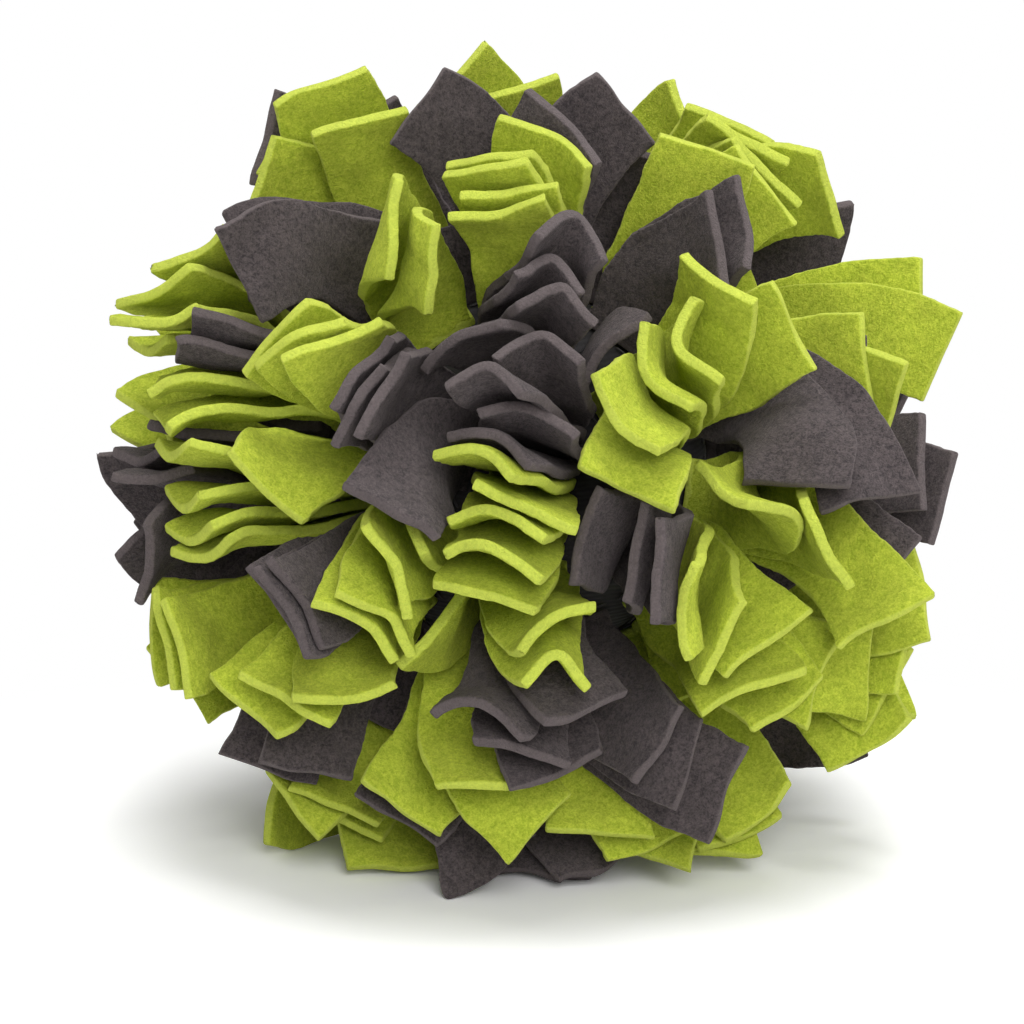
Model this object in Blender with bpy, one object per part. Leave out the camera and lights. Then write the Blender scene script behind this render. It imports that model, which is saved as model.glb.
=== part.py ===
"""Snuffle ball: strips of fleece, folded in half and sewn by the fold to a stuffed fabric core.

The free ends of the strips are called tails here. Two to nine of them stand one behind another at each sewn place
on the core. Those of one colour at a place are tacked together at the fold and are one object. Lengths are
millimetres until the meshes are made. The ball is described in its own frame: x to the right, z up and y away from the front of the
ball, with the origin at the middle of the core. It is then leaned back and set on the floor.
"""

import math
import random

import bmesh
import bpy
from mathutils import Matrix, Vector
from mathutils.bvhtree import BVHTree

METRES = 0.001

# The ball across its strip ends. The tables below give places in hundredths of its radius.
BALL_RADIUS = 100.0

# The core
CORE_RADIUS = 45.0
COVER_THICKNESS = 2.0
SEAT_GAP = 0.3
STUFFING_RADIUS = CORE_RADIUS - COVER_THICKNESS - 0.6
SEAM_GAP = 0.3
POLE_HOLE_RADIUS = 1.5

# The fleece strips
FLEECE_THICKNESS = 2.6
STRIP_WIDTH = 24.0
TAIL_LENGTH = 50.0
GATHERED_WIDTH = CORE_RADIUS * 0.38
GATHER = min(1.0, GATHERED_WIDTH / STRIP_WIDTH)
GATHERED_LENGTH = 14.0
FOLD_HEIGHT = 3.0
TAIL_GAP = 0.4
TAIL_PITCH = FLEECE_THICKNESS + TAIL_GAP
TAIL_START = 1.2
CLEARANCE = 0.3
# Stitches long enough for a swinging fold to tilt without touching the cover
SWING_LIFT = 0.5

# How the ball stands
LEAN_BACK = 12.0
CENTRE_HEIGHT = BALL_RADIUS * 0.935
FLOOR_PRESS = 0.5
# How far a strip under the ball may reach to the floor, in hundredths of the ball's radius
FOOT_REACH = 104

# Facets of a tail
MOST_STEPS = 4
SCATTER_SEED = 7
TURN_PER_STEP = math.radians(25)

# The places round the core, as rings of places at a polar angle from the front of the ball
INNER, EDGE, BACK_INNER = 38.0, 90.0, 149.0
MIDDLE = INNER + (EDGE - INNER) * 0.48
BACK_OUTER = EDGE + (BACK_INNER - EDGE) * 0.49

LIME = (0.42, 0.60, 0.03)
CHARCOAL = (0.070, 0.060, 0.066)
COVER_GREY = (0.12, 0.11, 0.12)
STUFFING_WHITE = (0.85, 0.84, 0.80)

FOLD_RADIUS = CORE_RADIUS + SEAT_GAP
FOLD_TOP = FOLD_RADIUS + FOLD_HEIGHT
VIEWER = Vector((0, -1, 0))


class Tail:
    """Where one tail's end lies: x and z seen from the front, and its distance from the middle of the core.

    These three and the cup are in hundredths of the ball's radius.

    edge is the angle at which the cut end runs, seen from the front, and lean turns that end towards the viewer.
    cup is how deep the tail is cupped across its width. behind puts the end on the far side of the ball.
    """

    def __init__(self, x, z, reach=92.0, edge=None, lean=0.0, cup=0.0, behind=False):
        share = BALL_RADIUS / 100
        self.x, self.z, self.reach, self.cup = x * share, z * share, reach * share, cup * share
        self.edge, self.lean, self.behind = edge, lean, behind

    def end(self):
        depth = math.sqrt(max(self.reach**2 - self.x**2 - self.z**2, 0.0))
        return Vector((self.x, depth if self.behind else -depth, self.z))


class Place:
    """A sewn place on the core: its clock angle and polar angle, and how its strips are turned about the radius."""

    def __init__(self, name, clock, polar, turn=0.0, lime=(), charcoal=(), swings=False):
        self.name, self.turn, self.swings = name, turn, swings
        around, down = math.radians(clock), math.radians(polar)
        self.out = Vector((math.sin(down) * math.cos(around), -math.cos(down), math.sin(down) * math.sin(around)))
        ring_way = Vector((-math.sin(around), 0, math.cos(around)))
        pole_way = Vector(
            (math.cos(down) * math.cos(around), math.sin(down), math.cos(down) * math.sin(around))
        )
        rolled = math.radians(turn)
        self.across = ring_way * math.cos(rolled) + pole_way * math.sin(rolled)
        self.behind = pole_way * math.cos(rolled) - ring_way * math.sin(rolled)
        groups = [(colour, sorted(tails, key=self.depth)) for colour, tails in
                  (("charcoal", charcoal), ("lime", lime)) if tails]
        self.groups = sorted(groups, key=lambda g: sum(map(self.depth, g[1])) / len(g[1]))

    def depth(self, tail):
        """How far behind a tail's end lies, so that tails which stand one behind another don't cross."""
        return tail.end().normalized().dot(self.behind)

    def slot_directions(self):
        """The outward direction of each tail's root, one behind another."""
        count = sum(len(tails) for _, tails in self.groups)
        shift = TAIL_PITCH / FOLD_RADIUS
        return [(self.out + self.behind * shift * (i - (count - 1) / 2)).normalized() for i in range(count)]


def front_places():
    """The strips that show from the front, each with the places of its tails' ends.

    A place's tails stand one behind another from the front of the ball outwards. Where it is turned by 90 degrees,
    they stand one above another and show their edges.
    """
    return [
        Place("edge_top", 90, EDGE, swings=True, lime=[Tail(-11, 95, 99, 40, 0, 2), Tail(-6, 89, 94, 30)]),
        Place("edge_right", 32, EDGE, swings=True, lime=[Tail(98, 38, 106, 90), Tail(101, 28, 106, 90)]),
        Place("edge_3_oclock", 0, EDGE, swings=True, charcoal=[Tail(95, -6, 98, 80), Tail(90, 3, 94, 80)]),
        Place("centre", 90, 0, 12,
              lime=[Tail(-11, -26, 89, -5, 0, -2), Tail(-4, -13, 93, -12, 0, -4), Tail(-3, -4, 91, -8, 0, -4),
                    Tail(-6, 5, 93, -18, 0, -3), Tail(8, 1, 92, -24)],
              charcoal=[Tail(-9, 14, 91, -20, 0, -3), Tail(6, 14, 90, -16, 0, -4), Tail(-9, 23, 93, -12, 0, -6),
                        Tail(3, 31, 91, -8, 0, -7)]),
        Place("inner_12_oclock", 90, INNER, 12,
              charcoal=[Tail(-16, 31, 86, 22, 0, -3), Tail(-3, 40, 93, -8, 0, -8), Tail(6, 49, 92, -12, 0, -7),
                        Tail(12, 57, 94, -12, 0, -8)],
              lime=[Tail(-9, 54, 92, 15, 30), Tail(-14, 60, 93, 25, 40), Tail(-20, 66, 94, 30, 50)]),
        Place("inner_2_oclock", 30, INNER, lime=[
            Tail(15, -5, 90, -50, 20, 2), Tail(14, 12, 94, -60, 20, 3), Tail(27, 22, 91, -65, 20, 5),
            Tail(34, 30, 92, -80, 20, 6), Tail(28, 43, 93, -45, 30, 3), Tail(62, 34, 93, -60)]),
        Place("inner_4_oclock", -30, INNER,
              charcoal=[Tail(11, -14, 83, 62, 0, 2), Tail(18, -17, 92, -66, 30), Tail(23, -20, 93, -60, 40)],
              lime=[Tail(32, -30, 92, 88, 0, 3), Tail(40, -40, 94, 70), Tail(52, -34, 93, 40)]),
        Place("inner_6_oclock", -90, INNER,
              lime=[Tail(5, -31, 91, 25, 0, 5), Tail(-6, -40, 92, 0, 0, 8)],
              charcoal=[Tail(-9, -46, 91, 0, 0, 8), Tail(14, -46, 92, -12), Tail(-2, -55, 92, -10, 0, 4),
                        Tail(15, -66, 94, 5)]),
        Place("inner_8_oclock", -150, INNER,
              lime=[Tail(-17, -8, 84, -60, 0, 2), Tail(-15, -21, 91, -80, 0, 3), Tail(-24, -28, 92, -50, 0, 4),
                    Tail(-22, -37, 92, -40, 0, 5)],
              charcoal=[Tail(-34, -12, 90, -60, 0, 3), Tail(-41, -21, 93, -58), Tail(-47, -30, 93, -55)]),
        Place("inner_10_oclock", 150, INNER,
              charcoal=[Tail(-19, 5, 87, 60, 10, -3), Tail(-28, -1, 89, 60, 10, -3), Tail(-27, 16, 91, 55, 10, -4)],
              lime=[Tail(-56, 16, 93, 35, 50), Tail(-51, 23, 94, 35, 55), Tail(-45, 30, 94, 40, 60)]),
        Place("middle_12_oclock", 90, MIDDLE,
              lime=[Tail(1, 71, 94, -8, 60, -4), Tail(-20, 68, 93, 40, 50)],
              charcoal=[Tail(8, 77, 96, -10, 60), Tail(-27, 88, 98, 20), Tail(24, 87, 98, -10)]),
        Place("middle_1_oclock", 57, MIDDLE,
              lime=[Tail(32, 79, 99, -15), Tail(60, 58, 95, -40)],
              charcoal=[Tail(48, 55, 91, -35, 50), Tail(54, 50, 92, -35, 50)]),
        Place("middle_2_oclock", 24.5, MIDDLE,
              charcoal=[Tail(62, -3, 93, 0), Tail(75, -7, 95, 0)],
              lime=[Tail(85, 3, 96, 80, 30), Tail(78, 27, 95, 70, 30)]),
        Place("middle_3_oclock", -8, MIDDLE,
              lime=[Tail(33, -5, 89, -20, 0, 3), Tail(38, -14, 91, -20, 0, 3), Tail(80, -33, 98, 42)],
              charcoal=[Tail(63, -46, 93, 20)]),
        Place("middle_4_oclock", -41, MIDDLE, lime=[
            Tail(52, -50, 92, 20), Tail(63, -57, 94, 20), Tail(70, -50, 95, 25), Tail(82, -48, 98, 60, 40)]),
        Place("middle_5_oclock", -73.6, MIDDLE,
              charcoal=[Tail(31, -63, 92), Tail(38, -68, 94), Tail(45, -73, 96)],
              lime=[Tail(19, -84, 96, 0), Tail(29, -90, 99, 5)]),
        Place("middle_7_oclock", -106.4, MIDDLE,
              lime=[Tail(-5, -71, 93, 0), Tail(-2, -85, 96, 0), Tail(-27, -80, 96, -45)],
              charcoal=[Tail(-36, -82, 95, -20), Tail(-8, -95, 99, 0)]),
        Place("middle_8_oclock", -139, MIDDLE,
              lime=[Tail(-46, -42, 93, 15), Tail(-57, -53, 95, 10), Tail(-67, -54, 97, 10)],
              charcoal=[Tail(-50, -70, 96, -45), Tail(-62, -72, 98, -40)]),
        Place("middle_9_oclock", -172, MIDDLE, 90, lime=[
            Tail(-78, -19, 92, 0, 70), Tail(-80, -11, 92, 0, 70), Tail(-82, -3, 92, 0, 70),
            Tail(-84, 5, 94, 0, 70)]),
        Place("middle_10_oclock", 155.5, MIDDLE, 90,
              lime=[Tail(-86, 10, 94, -8, 70), Tail(-90, 19, 97, 0, 70)],
              charcoal=[Tail(-84, 27, 95, 5, 70), Tail(-80, 33, 94, 10, 60)]),
        Place("middle_11_oclock", 122.7, MIDDLE,
              lime=[Tail(-21, 45, 92, 60, 55), Tail(-29, 52, 93, 60, 55)],
              charcoal=[Tail(-60, 54, 94, 85, 10, 6), Tail(-68, 47, 96, 85, 0)]),
        Place("edge_1_oclock", 60, EDGE, lime=[
            Tail(50, 76, 96, -20), Tail(48, 84, 99, -20), Tail(57, 72, 98, -35), Tail(72, 58, 97, -40)]),
        Place("edge_11_oclock", 120, EDGE, lime=[
            Tail(-48, 89, 104, 30), Tail(-60, 78, 101, 50), Tail(-66, 70, 99, 55), Tail(-40, 84, 98, 25)]),
        Place("edge_10_oclock", 150, EDGE, 90, lime=[
            Tail(-91, 20, 97, 0, 60), Tail(-84, 34, 96, 10, 60), Tail(-86, 41, 99, 65, 10),
            Tail(-75, 45, 95, 65, 30)]),
        Place("edge_9_oclock", 180, EDGE, 90, charcoal=[
            Tail(-88, -21, 96, 80, 10), Tail(-84, -6, 92, 0, 60), Tail(-86, 2, 92, 0, 70), Tail(-87, 11, 93, 0, 70)]),
        Place("edge_8_oclock", 210, EDGE, lime=[
            Tail(-84, -42, 100, -66), Tail(-91, -27, 100, -78), Tail(-82, -55, 101, -56), Tail(-96, -15, 100, -85)]),
        Place("edge_7_oclock", 240, EDGE, lime=[
            Tail(-45, -85, 99, -25), Tail(-52, -77, 97, -20), Tail(-58, -73, 97, -10), Tail(-21, -94, 99, -20)]),
        Place("edge_6_oclock", 270, EDGE, charcoal=[
            Tail(-4, -100, 102, 0), Tail(4, -100, 102, 0), Tail(18, -97, 101, 0), Tail(-16, -96, 99, 0)]),
        Place("edge_5_oclock", 300, EDGE, lime=[
            Tail(33, -88, 99, 5), Tail(56, -76, 98, -5), Tail(41, -90, 101, 3), Tail(50, -84, 101, 0)]),
        Place("edge_4_oclock", 330, EDGE, lime=[
            Tail(95, -29, 102, 75), Tail(91, -42, 102, 65), Tail(87, -53, 103, 55), Tail(79, -63, 102, 40)]),
    ]


def floor_reach(away):
    """How far the floor is from the middle of the core in a direction, or nothing where that points upwards."""
    fall = CENTRE_HEIGHT - to_world(away).z
    return CENTRE_HEIGHT / fall if fall > 0.5 else 0.0


def back_places():
    """The strips that the front hides, laid by a rule with a little scatter."""
    scatter = random.Random(SCATTER_SEED)
    places = []
    # The outer strips spread over the gap behind the edge. The innermost lean over the middle of the back, which has
    # no sewn place of its own.
    for ring, polar, count, first, tails_here, spread, shift in (
            ("back_outer", BACK_OUTER, 8, 25.0, 6, 0.2, -0.12),
            ("back_inner", BACK_INNER, 4, 55.0, 7, 0.13, 0.42)):
        for i in range(count):
            clock = first + 360.0 * i / count
            middle = Place("", clock, polar)
            tails = []
            for j in range(tails_here):
                away = middle.out + middle.behind * ((j - (tails_here - 1) / 2) * spread + shift)
                away += middle.across * scatter.uniform(-0.6, 0.6) + middle.behind * scatter.uniform(-0.1, 0.1)
                away.normalize()
                end = away * min(max(scatter.uniform(90, 99), 100 * floor_reach(away) / BALL_RADIUS), FOOT_REACH)
                cup = scatter.choice((0.0, 2.0, 2.0, 4.0))
                tails.append(Tail(end.x, end.z, end.length, behind=end.y > 0, cup=cup))
            colour = "lime" if (i + (ring == "back_inner")) % 2 else "charcoal"
            turn = scatter.choice((0, 20, -20)) if ring == "back_outer" else 0
            places.append(Place(f"{ring}_{i + 1}", clock, polar, turn, **{colour: tails}))
    return places


def smooth(t):
    t = min(max(t, 0.0), 1.0)
    return t * t * (3 - 2 * t)


class Route:
    """The middle line of a tail: an arc that leaves the core straight out and ends at a point."""

    def __init__(self, out, across, tail, ease, nudge, length):
        self.out, self.across = out, across
        self.start = out * (FOLD_RADIUS + TAIL_START)
        right, up, outward, kept = nudge
        share = BALL_RADIUS / 100
        wanted = tail.end() + Vector((right, 0, up)) * share
        wanted = wanted.normalized() * (tail.reach + outward * share) - self.start
        aim = out.slerp(wanted.normalized(), ease)
        reach = (TAIL_LENGTH * (1 - ease) + wanted.length * ease) * length
        self.bend = max(out.angle(aim), 1e-4)
        side = aim - out * aim.dot(out)
        self.side = side.normalized() if side.length > 1e-6 else across
        self.radius = reach / (2 * math.sin(self.bend))
        self.length = 2 * self.bend * self.radius
        self.cup = tail.cup * ease
        along = self.along(1.0)
        carried = self.carried(1.0)
        if tail.edge is None:
            edge = VIEWER.cross(along)
        else:
            turned, leaned = math.radians(tail.edge), math.radians(tail.lean)
            edge = Vector(
                (math.cos(turned) * math.cos(leaned), -math.sin(leaned), math.sin(turned) * math.cos(leaned))
            )
        edge -= along * edge.dot(along)
        if edge.length < 0.2:
            edge = carried
        edge.normalize()
        twist = math.atan2(along.dot(carried.cross(edge)), carried.dot(edge))
        if abs(twist) > math.pi / 2:
            twist -= math.copysign(math.pi, twist)
        self.twist = twist * ease * kept
        turned = max(2 * self.bend, abs(self.twist))
        self.steps = min(MOST_STEPS, 2 + int(turned / TURN_PER_STEP))

    def along(self, t):
        turned = 2 * self.bend * t
        return self.out * math.cos(turned) + self.side * math.sin(turned)

    def point(self, t):
        turned = 2 * self.bend * t
        return self.start + (self.out * math.sin(turned) + self.side * (1 - math.cos(turned))) * self.radius

    def carried(self, t):
        """The width's direction, carried along the arc with no twist of its own."""
        hinge = self.out.cross(self.side)
        return Matrix.Rotation(2 * self.bend * t, 3, hinge) @ self.across

    def frame(self, t):
        along, carried = self.along(t), self.carried(t)
        twisted = self.twist * smooth(t)
        across = carried * math.cos(twisted) + along.cross(carried) * math.sin(twisted)
        return self.point(t), across, along.cross(across)


def plate(rows, wide):
    """Triangles of a closed plate from points in two layers, each of so many rows of so many points."""
    under = rows * wide
    triangles = []

    def side(a, b, c, d):
        triangles.extend(((a, b, c), (a, c, d)))

    for i in range(rows - 1):
        for j in range(wide - 1):
            a, b = i * wide + j, (i + 1) * wide + j
            side(a, a + 1, b + 1, b)
            side(under + a, under + b, under + b + 1, under + a + 1)
        a, b = i * wide, (i + 1) * wide
        side(a, b, under + b, under + a)
        a, b = b - 1, b + wide - 1
        side(b, a, under + a, under + b)
    for j in range(wide - 1):
        a, b = j, (rows - 1) * wide + j
        side(a + 1, a, under + a, under + a + 1)
        side(b, b + 1, under + b + 1, under + b)
    return triangles


def tail_mesh(route, more=0.0):
    """The points and triangles of a tail as a closed sheet, grown by more on every side."""
    top, bottom = [], []
    shares = (-1, 0, 1) if route.cup else (-1, 1)
    for i in range(route.steps + 1):
        t = i / route.steps
        middle, across, normal = route.frame(t)
        if i == route.steps:
            middle = middle + route.along(1.0) * more
        gathered = GATHER + (1 - GATHER) * smooth(t * route.length / GATHERED_LENGTH)
        half = STRIP_WIDTH / 2 * gathered
        tilt = math.asin(max(-0.8, min(0.8, route.cup * smooth(t) / half)))
        for share in shares:
            centre = middle + across * share * (half * math.cos(tilt) + more)
            centre = centre - normal * abs(share) * half * math.sin(tilt)
            face = normal if share == 0 else normal * math.cos(tilt) + across * share * math.sin(tilt)
            thick = (FLEECE_THICKNESS / 2 + more) / (math.cos(tilt) if share == 0 else 1.0)
            top.append(centre + face * thick)
            bottom.append(centre - face * thick)
    return top + bottom, plate(route.steps + 1, len(shares))


def fold_mesh(place, first, count):
    """The sewn fold of some of a place's tails: a patch that follows the core."""
    slots = place.slot_directions()[first : first + count]
    half_depth = (FLEECE_THICKNESS / 2) / FOLD_RADIUS
    half_width = (STRIP_WIDTH * GATHER / 2 + 0.4) / FOLD_RADIUS
    lows = slots[0] - place.behind * half_depth
    highs = slots[-1] + place.behind * half_depth
    across_steps, behind_steps = 3, 1 + (count > 2) + (count > 6)
    points = []
    for radius in (FOLD_TOP, FOLD_RADIUS + (SWING_LIFT if place.swings else 0.0)):
        for i in range(behind_steps + 1):
            row = lows.lerp(highs, i / behind_steps)
            for j in range(across_steps + 1):
                aim = row + place.across * half_width * (2 * j / across_steps - 1)
                points.append(aim.normalized() * radius)
    return points, plate(behind_steps + 1, across_steps + 1)


def to_world(point):
    """From the ball's own frame to the frame of the floor, in millimetres."""
    return Matrix.Rotation(math.radians(-LEAN_BACK), 3, "X") @ point + Vector((0, 0, CENTRE_HEIGHT))


# How far each tail is bent towards its place in the photo, tried from the first of these to the last
EASES = (1.0, 0.85, 0.7, 0.5, 0.3, 0.15)
PASSES = 3
SWING_DEGREES = 8.0
PLAIN = (0.0, 0.0, 0.0, 1.0)


def nudges():
    """Small changes to try where a tail's place is taken: right, up, outwards, and the share of its twist kept.

    The first three are in hundredths of the ball's radius, as a tail's place is.
    """
    for kept in (1.0, 0.5):
        for outward in (0, 5, -6, -12):
            yield 0.0, 0.0, outward, kept
    for away in (6.0, 12.0):
        for eighth in range(8):
            angle = math.tau * eighth / 8
            for outward in (0, -8):
                yield away * math.cos(angle), away * math.sin(angle), outward, 1.0


class Sheet:
    """A closed mesh to keep clear of, with a ball round it for a quick first test."""

    def __init__(self, points, faces):
        self.middle = sum(points, Vector()) / len(points)
        self.size = max((p - self.middle).length for p in points)
        self.tree = BVHTree.FromPolygons(points, faces)

    def meets(self, other):
        if (self.middle - other.middle).length > self.size + other.size:
            return False
        return bool(self.tree.overlap(other.tree))


class Piece:
    """One tail while it is being laid: its root, the shape it should have and the shape it has so far."""

    def __init__(self, place, slot, tail):
        self.place, self.out, self.tail = place, slot, tail
        self.group = None
        self.ease = 0.0
        self.route = self.above_floor(0.0, PLAIN)
        self.shapes = self.swept(self.route, 0.0)

    def above_floor(self, ease, nudge):
        """The route at this ease, shortened until its end rests on the floor."""
        length = 1.0
        while length > 0.6:
            route = Route(self.out, self.place.across, self.tail, ease, nudge, length)
            points, _ = tail_mesh(route)
            if min(to_world(p).z for p in points) >= -FLOOR_PRESS:
                return route
            length -= 0.004
        return None

    def swept(self, route, more):
        """The tail's shape, and where its place swings on its stitches the shapes it swings through."""
        points, faces = tail_mesh(route, more)
        if not self.place.swings:
            return [Sheet(points, faces)]
        shapes = []
        pivot = self.place.out * FOLD_RADIUS
        for share in (-1, -0.5, 0, 0.5, 1):
            turn = Matrix.Rotation(math.radians(SWING_DEGREES) * share, 3, self.place.across)
            shapes.append(Sheet([pivot + turn @ (p - pivot) for p in points], faces))
        return shapes

    def fits(self, route, others, folds):
        points, faces = tail_mesh(route, CLEARANCE)
        if min(p.length for p in points) < FOLD_RADIUS + 0.5:
            return None
        grown = self.swept(route, CLEARANCE)
        still = [grown[len(grown) // 2]]
        for other in others:
            together = other.place is self.place
            mine = still if together else grown
            theirs = [other.shapes[len(other.shapes) // 2]] if together else other.shapes
            if any(a.meets(b) for a in mine for b in theirs):
                return None
        for place, fold in folds:
            if place is not self.place and any(a.meets(fold) for a in grown):
                return None
        return grown


def lay_tails(places):
    """Bend every tail as far towards its place as it goes while it stays clear of all the others.

    Each starts straight out from the core, where none meets another, so every step keeps the ball free of overlaps.
    """
    pieces = []
    folds = []
    for place in places:
        slots = place.slot_directions()
        first = 0
        for number, (_, tails) in enumerate(place.groups):
            folds.append((place, Sheet(*fold_mesh(place, first, len(tails)))))
            for i, tail in enumerate(tails):
                piece = Piece(place, slots[first + i], tail)
                piece.group = number
                pieces.append(piece)
            first += len(tails)
    for turn in range(PASSES):
        for piece in pieces:
            if piece.ease == EASES[0]:
                continue
            others = [p for p in pieces if p is not piece]
            for ease, nudge in [(e, n) for e in EASES for n in nudges()]:
                if ease <= piece.ease:
                    break
                route = piece.above_floor(ease, nudge)
                if route is None:
                    continue
                if piece.fits(route, others, folds):
                    piece.ease, piece.route = ease, route
                    piece.shapes = piece.swept(route, 0.0)
                    break
    return pieces


def material(name, colour, roughness=0.95):
    made = bpy.data.materials.new(name)
    made.use_nodes = True
    shader = made.node_tree.nodes["Principled BSDF"]
    shader.inputs["Base Color"].default_value = (*colour, 1.0)
    shader.inputs["Roughness"].default_value = roughness
    made.diffuse_color = (*colour, 1.0)
    return made


def add_object(name, points, faces, colour, origin, to_floor_frame=True):
    """A mesh object from points in millimetres, with its own origin and its own material."""
    if to_floor_frame:
        points, origin = [to_world(p) for p in points], to_world(origin)
    mesh = bpy.data.meshes.new(name)
    mesh.from_pydata([(p - origin) * METRES for p in points], [], faces)
    mesh.update()
    thing = bpy.data.objects.new(name, mesh)
    thing.location = origin * METRES
    bpy.context.scene.collection.objects.link(thing)
    if colour is not None:
        mesh.materials.append(material(name, colour))
    work = bmesh.new()
    work.from_mesh(mesh)
    bmesh.ops.recalc_face_normals(work, faces=work.faces)
    work.to_mesh(mesh)
    work.free()
    return thing


def combine(thing, tool, operation):
    """Apply a Boolean and remove the tool."""
    step = thing.modifiers.new(operation, "BOOLEAN")
    step.operation, step.object, step.solver = operation, tool, "EXACT"
    bpy.context.view_layer.update()
    graph = bpy.context.evaluated_depsgraph_get()
    result = bpy.data.meshes.new_from_object(thing.evaluated_get(graph))
    thing.modifiers.clear()
    old = thing.data
    name = old.name
    thing.data = result
    bpy.data.meshes.remove(old)
    result.name = name
    bpy.data.objects.remove(tool)


def tidy(thing):
    """Merge doubled points, drop empty faces and triangulate."""
    work = bmesh.new()
    work.from_mesh(thing.data)
    bmesh.ops.remove_doubles(work, verts=work.verts, dist=0.00002)
    bmesh.ops.dissolve_degenerate(work, edges=work.edges, dist=0.00001)
    bmesh.ops.triangulate(work, faces=work.faces)
    work.to_mesh(thing.data)
    work.free()


def floor_tool():
    """A slab whose top is the floor, to cut the lowest tails flat."""
    reach, deep = 200.0, 20.0
    points = [Vector((x, y, z)) for z in (-deep, 0.0) for x, y in
              ((-reach, -reach), (reach, -reach), (reach, reach), (-reach, reach))]
    faces = [(3, 2, 1, 0), (4, 5, 6, 7), (0, 1, 5, 4), (1, 2, 6, 5), (2, 3, 7, 6), (3, 0, 4, 7)]
    return add_object("floor_tool", points, faces, None, Vector(), to_floor_frame=False)


def ball_shell(name, outer, inner, half, colour):
    """Half of a round cover, or a solid ball where inner is nothing."""
    steps_round, steps_down = 24, 7
    points, faces = [], []
    if inner is None:
        steps_down = 14
        rows = []
        for i in range(1, steps_down):
            down = math.pi * i / steps_down
            rows.append([len(points) + j for j in range(steps_round)])
            for j in range(steps_round):
                a = math.tau * j / steps_round
                points.append(Vector((math.sin(down) * math.cos(a), -math.cos(down), math.sin(down) * math.sin(a)))
                              * outer)
        front, back = len(points), len(points) + 1
        points += [Vector((0, -outer, 0)), Vector((0, outer, 0))]
        for a, b in zip(rows, rows[1:]):
            faces += [(a[j - 1], a[j], b[j], b[j - 1]) for j in range(steps_round)]
        faces += [(front, rows[0][j], rows[0][j - 1]) for j in range(steps_round)]
        faces += [(back, rows[-1][j - 1], rows[-1][j]) for j in range(steps_round)]
        return add_object(name, points, faces, colour, Vector())
    start = math.asin(POLE_HOLE_RADIUS / outer)
    end = math.pi / 2 - SEAM_GAP / 2 / inner
    rings = []
    for radius, order in ((outer, 1), (inner, -1)):
        downs = [start + (end - start) * i / steps_down for i in range(steps_down + 1)][::order]
        for down in downs:
            rings.append([len(points) + j for j in range(steps_round)])
            for j in range(steps_round):
                a = math.tau * j / steps_round
                points.append(Vector((math.sin(down) * math.cos(a), -math.cos(down) * half,
                                      math.sin(down) * math.sin(a))) * radius)
    for a, b in zip(rings, rings[1:] + rings[:1]):
        faces += [(a[j - 1], a[j], b[j], b[j - 1]) for j in range(steps_round)]
    return add_object(name, points, faces, colour, Vector())


def build():
    for thing in list(bpy.data.objects):
        bpy.data.objects.remove(thing)
    made = [
        ball_shell("core_stuffing", STUFFING_RADIUS, None, 1, STUFFING_WHITE),
        ball_shell("core_cover_front", CORE_RADIUS, CORE_RADIUS - COVER_THICKNESS, 1, COVER_GREY),
        ball_shell("core_cover_back", CORE_RADIUS, CORE_RADIUS - COVER_THICKNESS, -1, COVER_GREY),
    ]
    places = front_places() + back_places()
    pieces = lay_tails(places)
    for place in places:
        first = 0
        for number, (colour, tails) in enumerate(place.groups):
            points, faces = fold_mesh(place, first, len(tails))
            first += len(tails)
            name = f"{colour}_tuft_{place.name}"
            shade = LIME if colour == "lime" else CHARCOAL
            tuft = add_object(name, points, faces, shade, place.out * FOLD_RADIUS)
            points, faces = [], []
            for piece in [p for p in pieces if p.place is place and p.group == number]:
                own, sides = tail_mesh(piece.route)
                faces += [tuple(i + len(points) for i in side) for side in sides]
                points += own
            tool = add_object("tails", points, faces, None, place.out * FOLD_RADIUS)
            combine(tuft, tool, "UNION")
            if min((tuft.matrix_world @ v.co).z for v in tuft.data.vertices) < -1e-5:
                combine(tuft, floor_tool(), "DIFFERENCE")
            tidy(tuft)
            made.append(tuft)
    bpy.context.view_layer.update()
    corners = [thing.matrix_world @ v.co for thing in made for v in thing.data.vertices]
    middle = [(min(c[i] for c in corners) + max(c[i] for c in corners)) / 2 for i in (0, 1)]
    for thing in made:
        thing.location.x -= middle[0]
        thing.location.y -= middle[1]
    bpy.context.view_layer.update()
    triangles = sum(len(p.vertices) - 2 for thing in made for p in thing.data.polygons)
    print(f"{len(made)} pieces, {triangles} triangles")
    eases = [piece.ease for piece in pieces if not piece.place.name.startswith("back")]
    print("front tails laid fully:", sum(e == 1.0 for e in eases), "of", len(eases),
          "; mean ease", round(sum(eases) / len(eases), 2))


build()
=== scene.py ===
"""Snuffle ball in anti-pill fleece: about 250 strip tails in lime and charcoal round a stuffed cloth core.

Every tail is laid by the rule that laid the solids, and is then cut, rounded and creased as real fleece is.
Lengths are millimetres until the meshes are made. The ball's own frame has x to the right, z up and y away from its
front, with the origin at the middle of the core. The ball is then leaned back and set on the floor.
"""

import math
import random

import bpy
import numpy as np
from mathutils import Matrix, Vector
from mathutils.bvhtree import BVHTree


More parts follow.
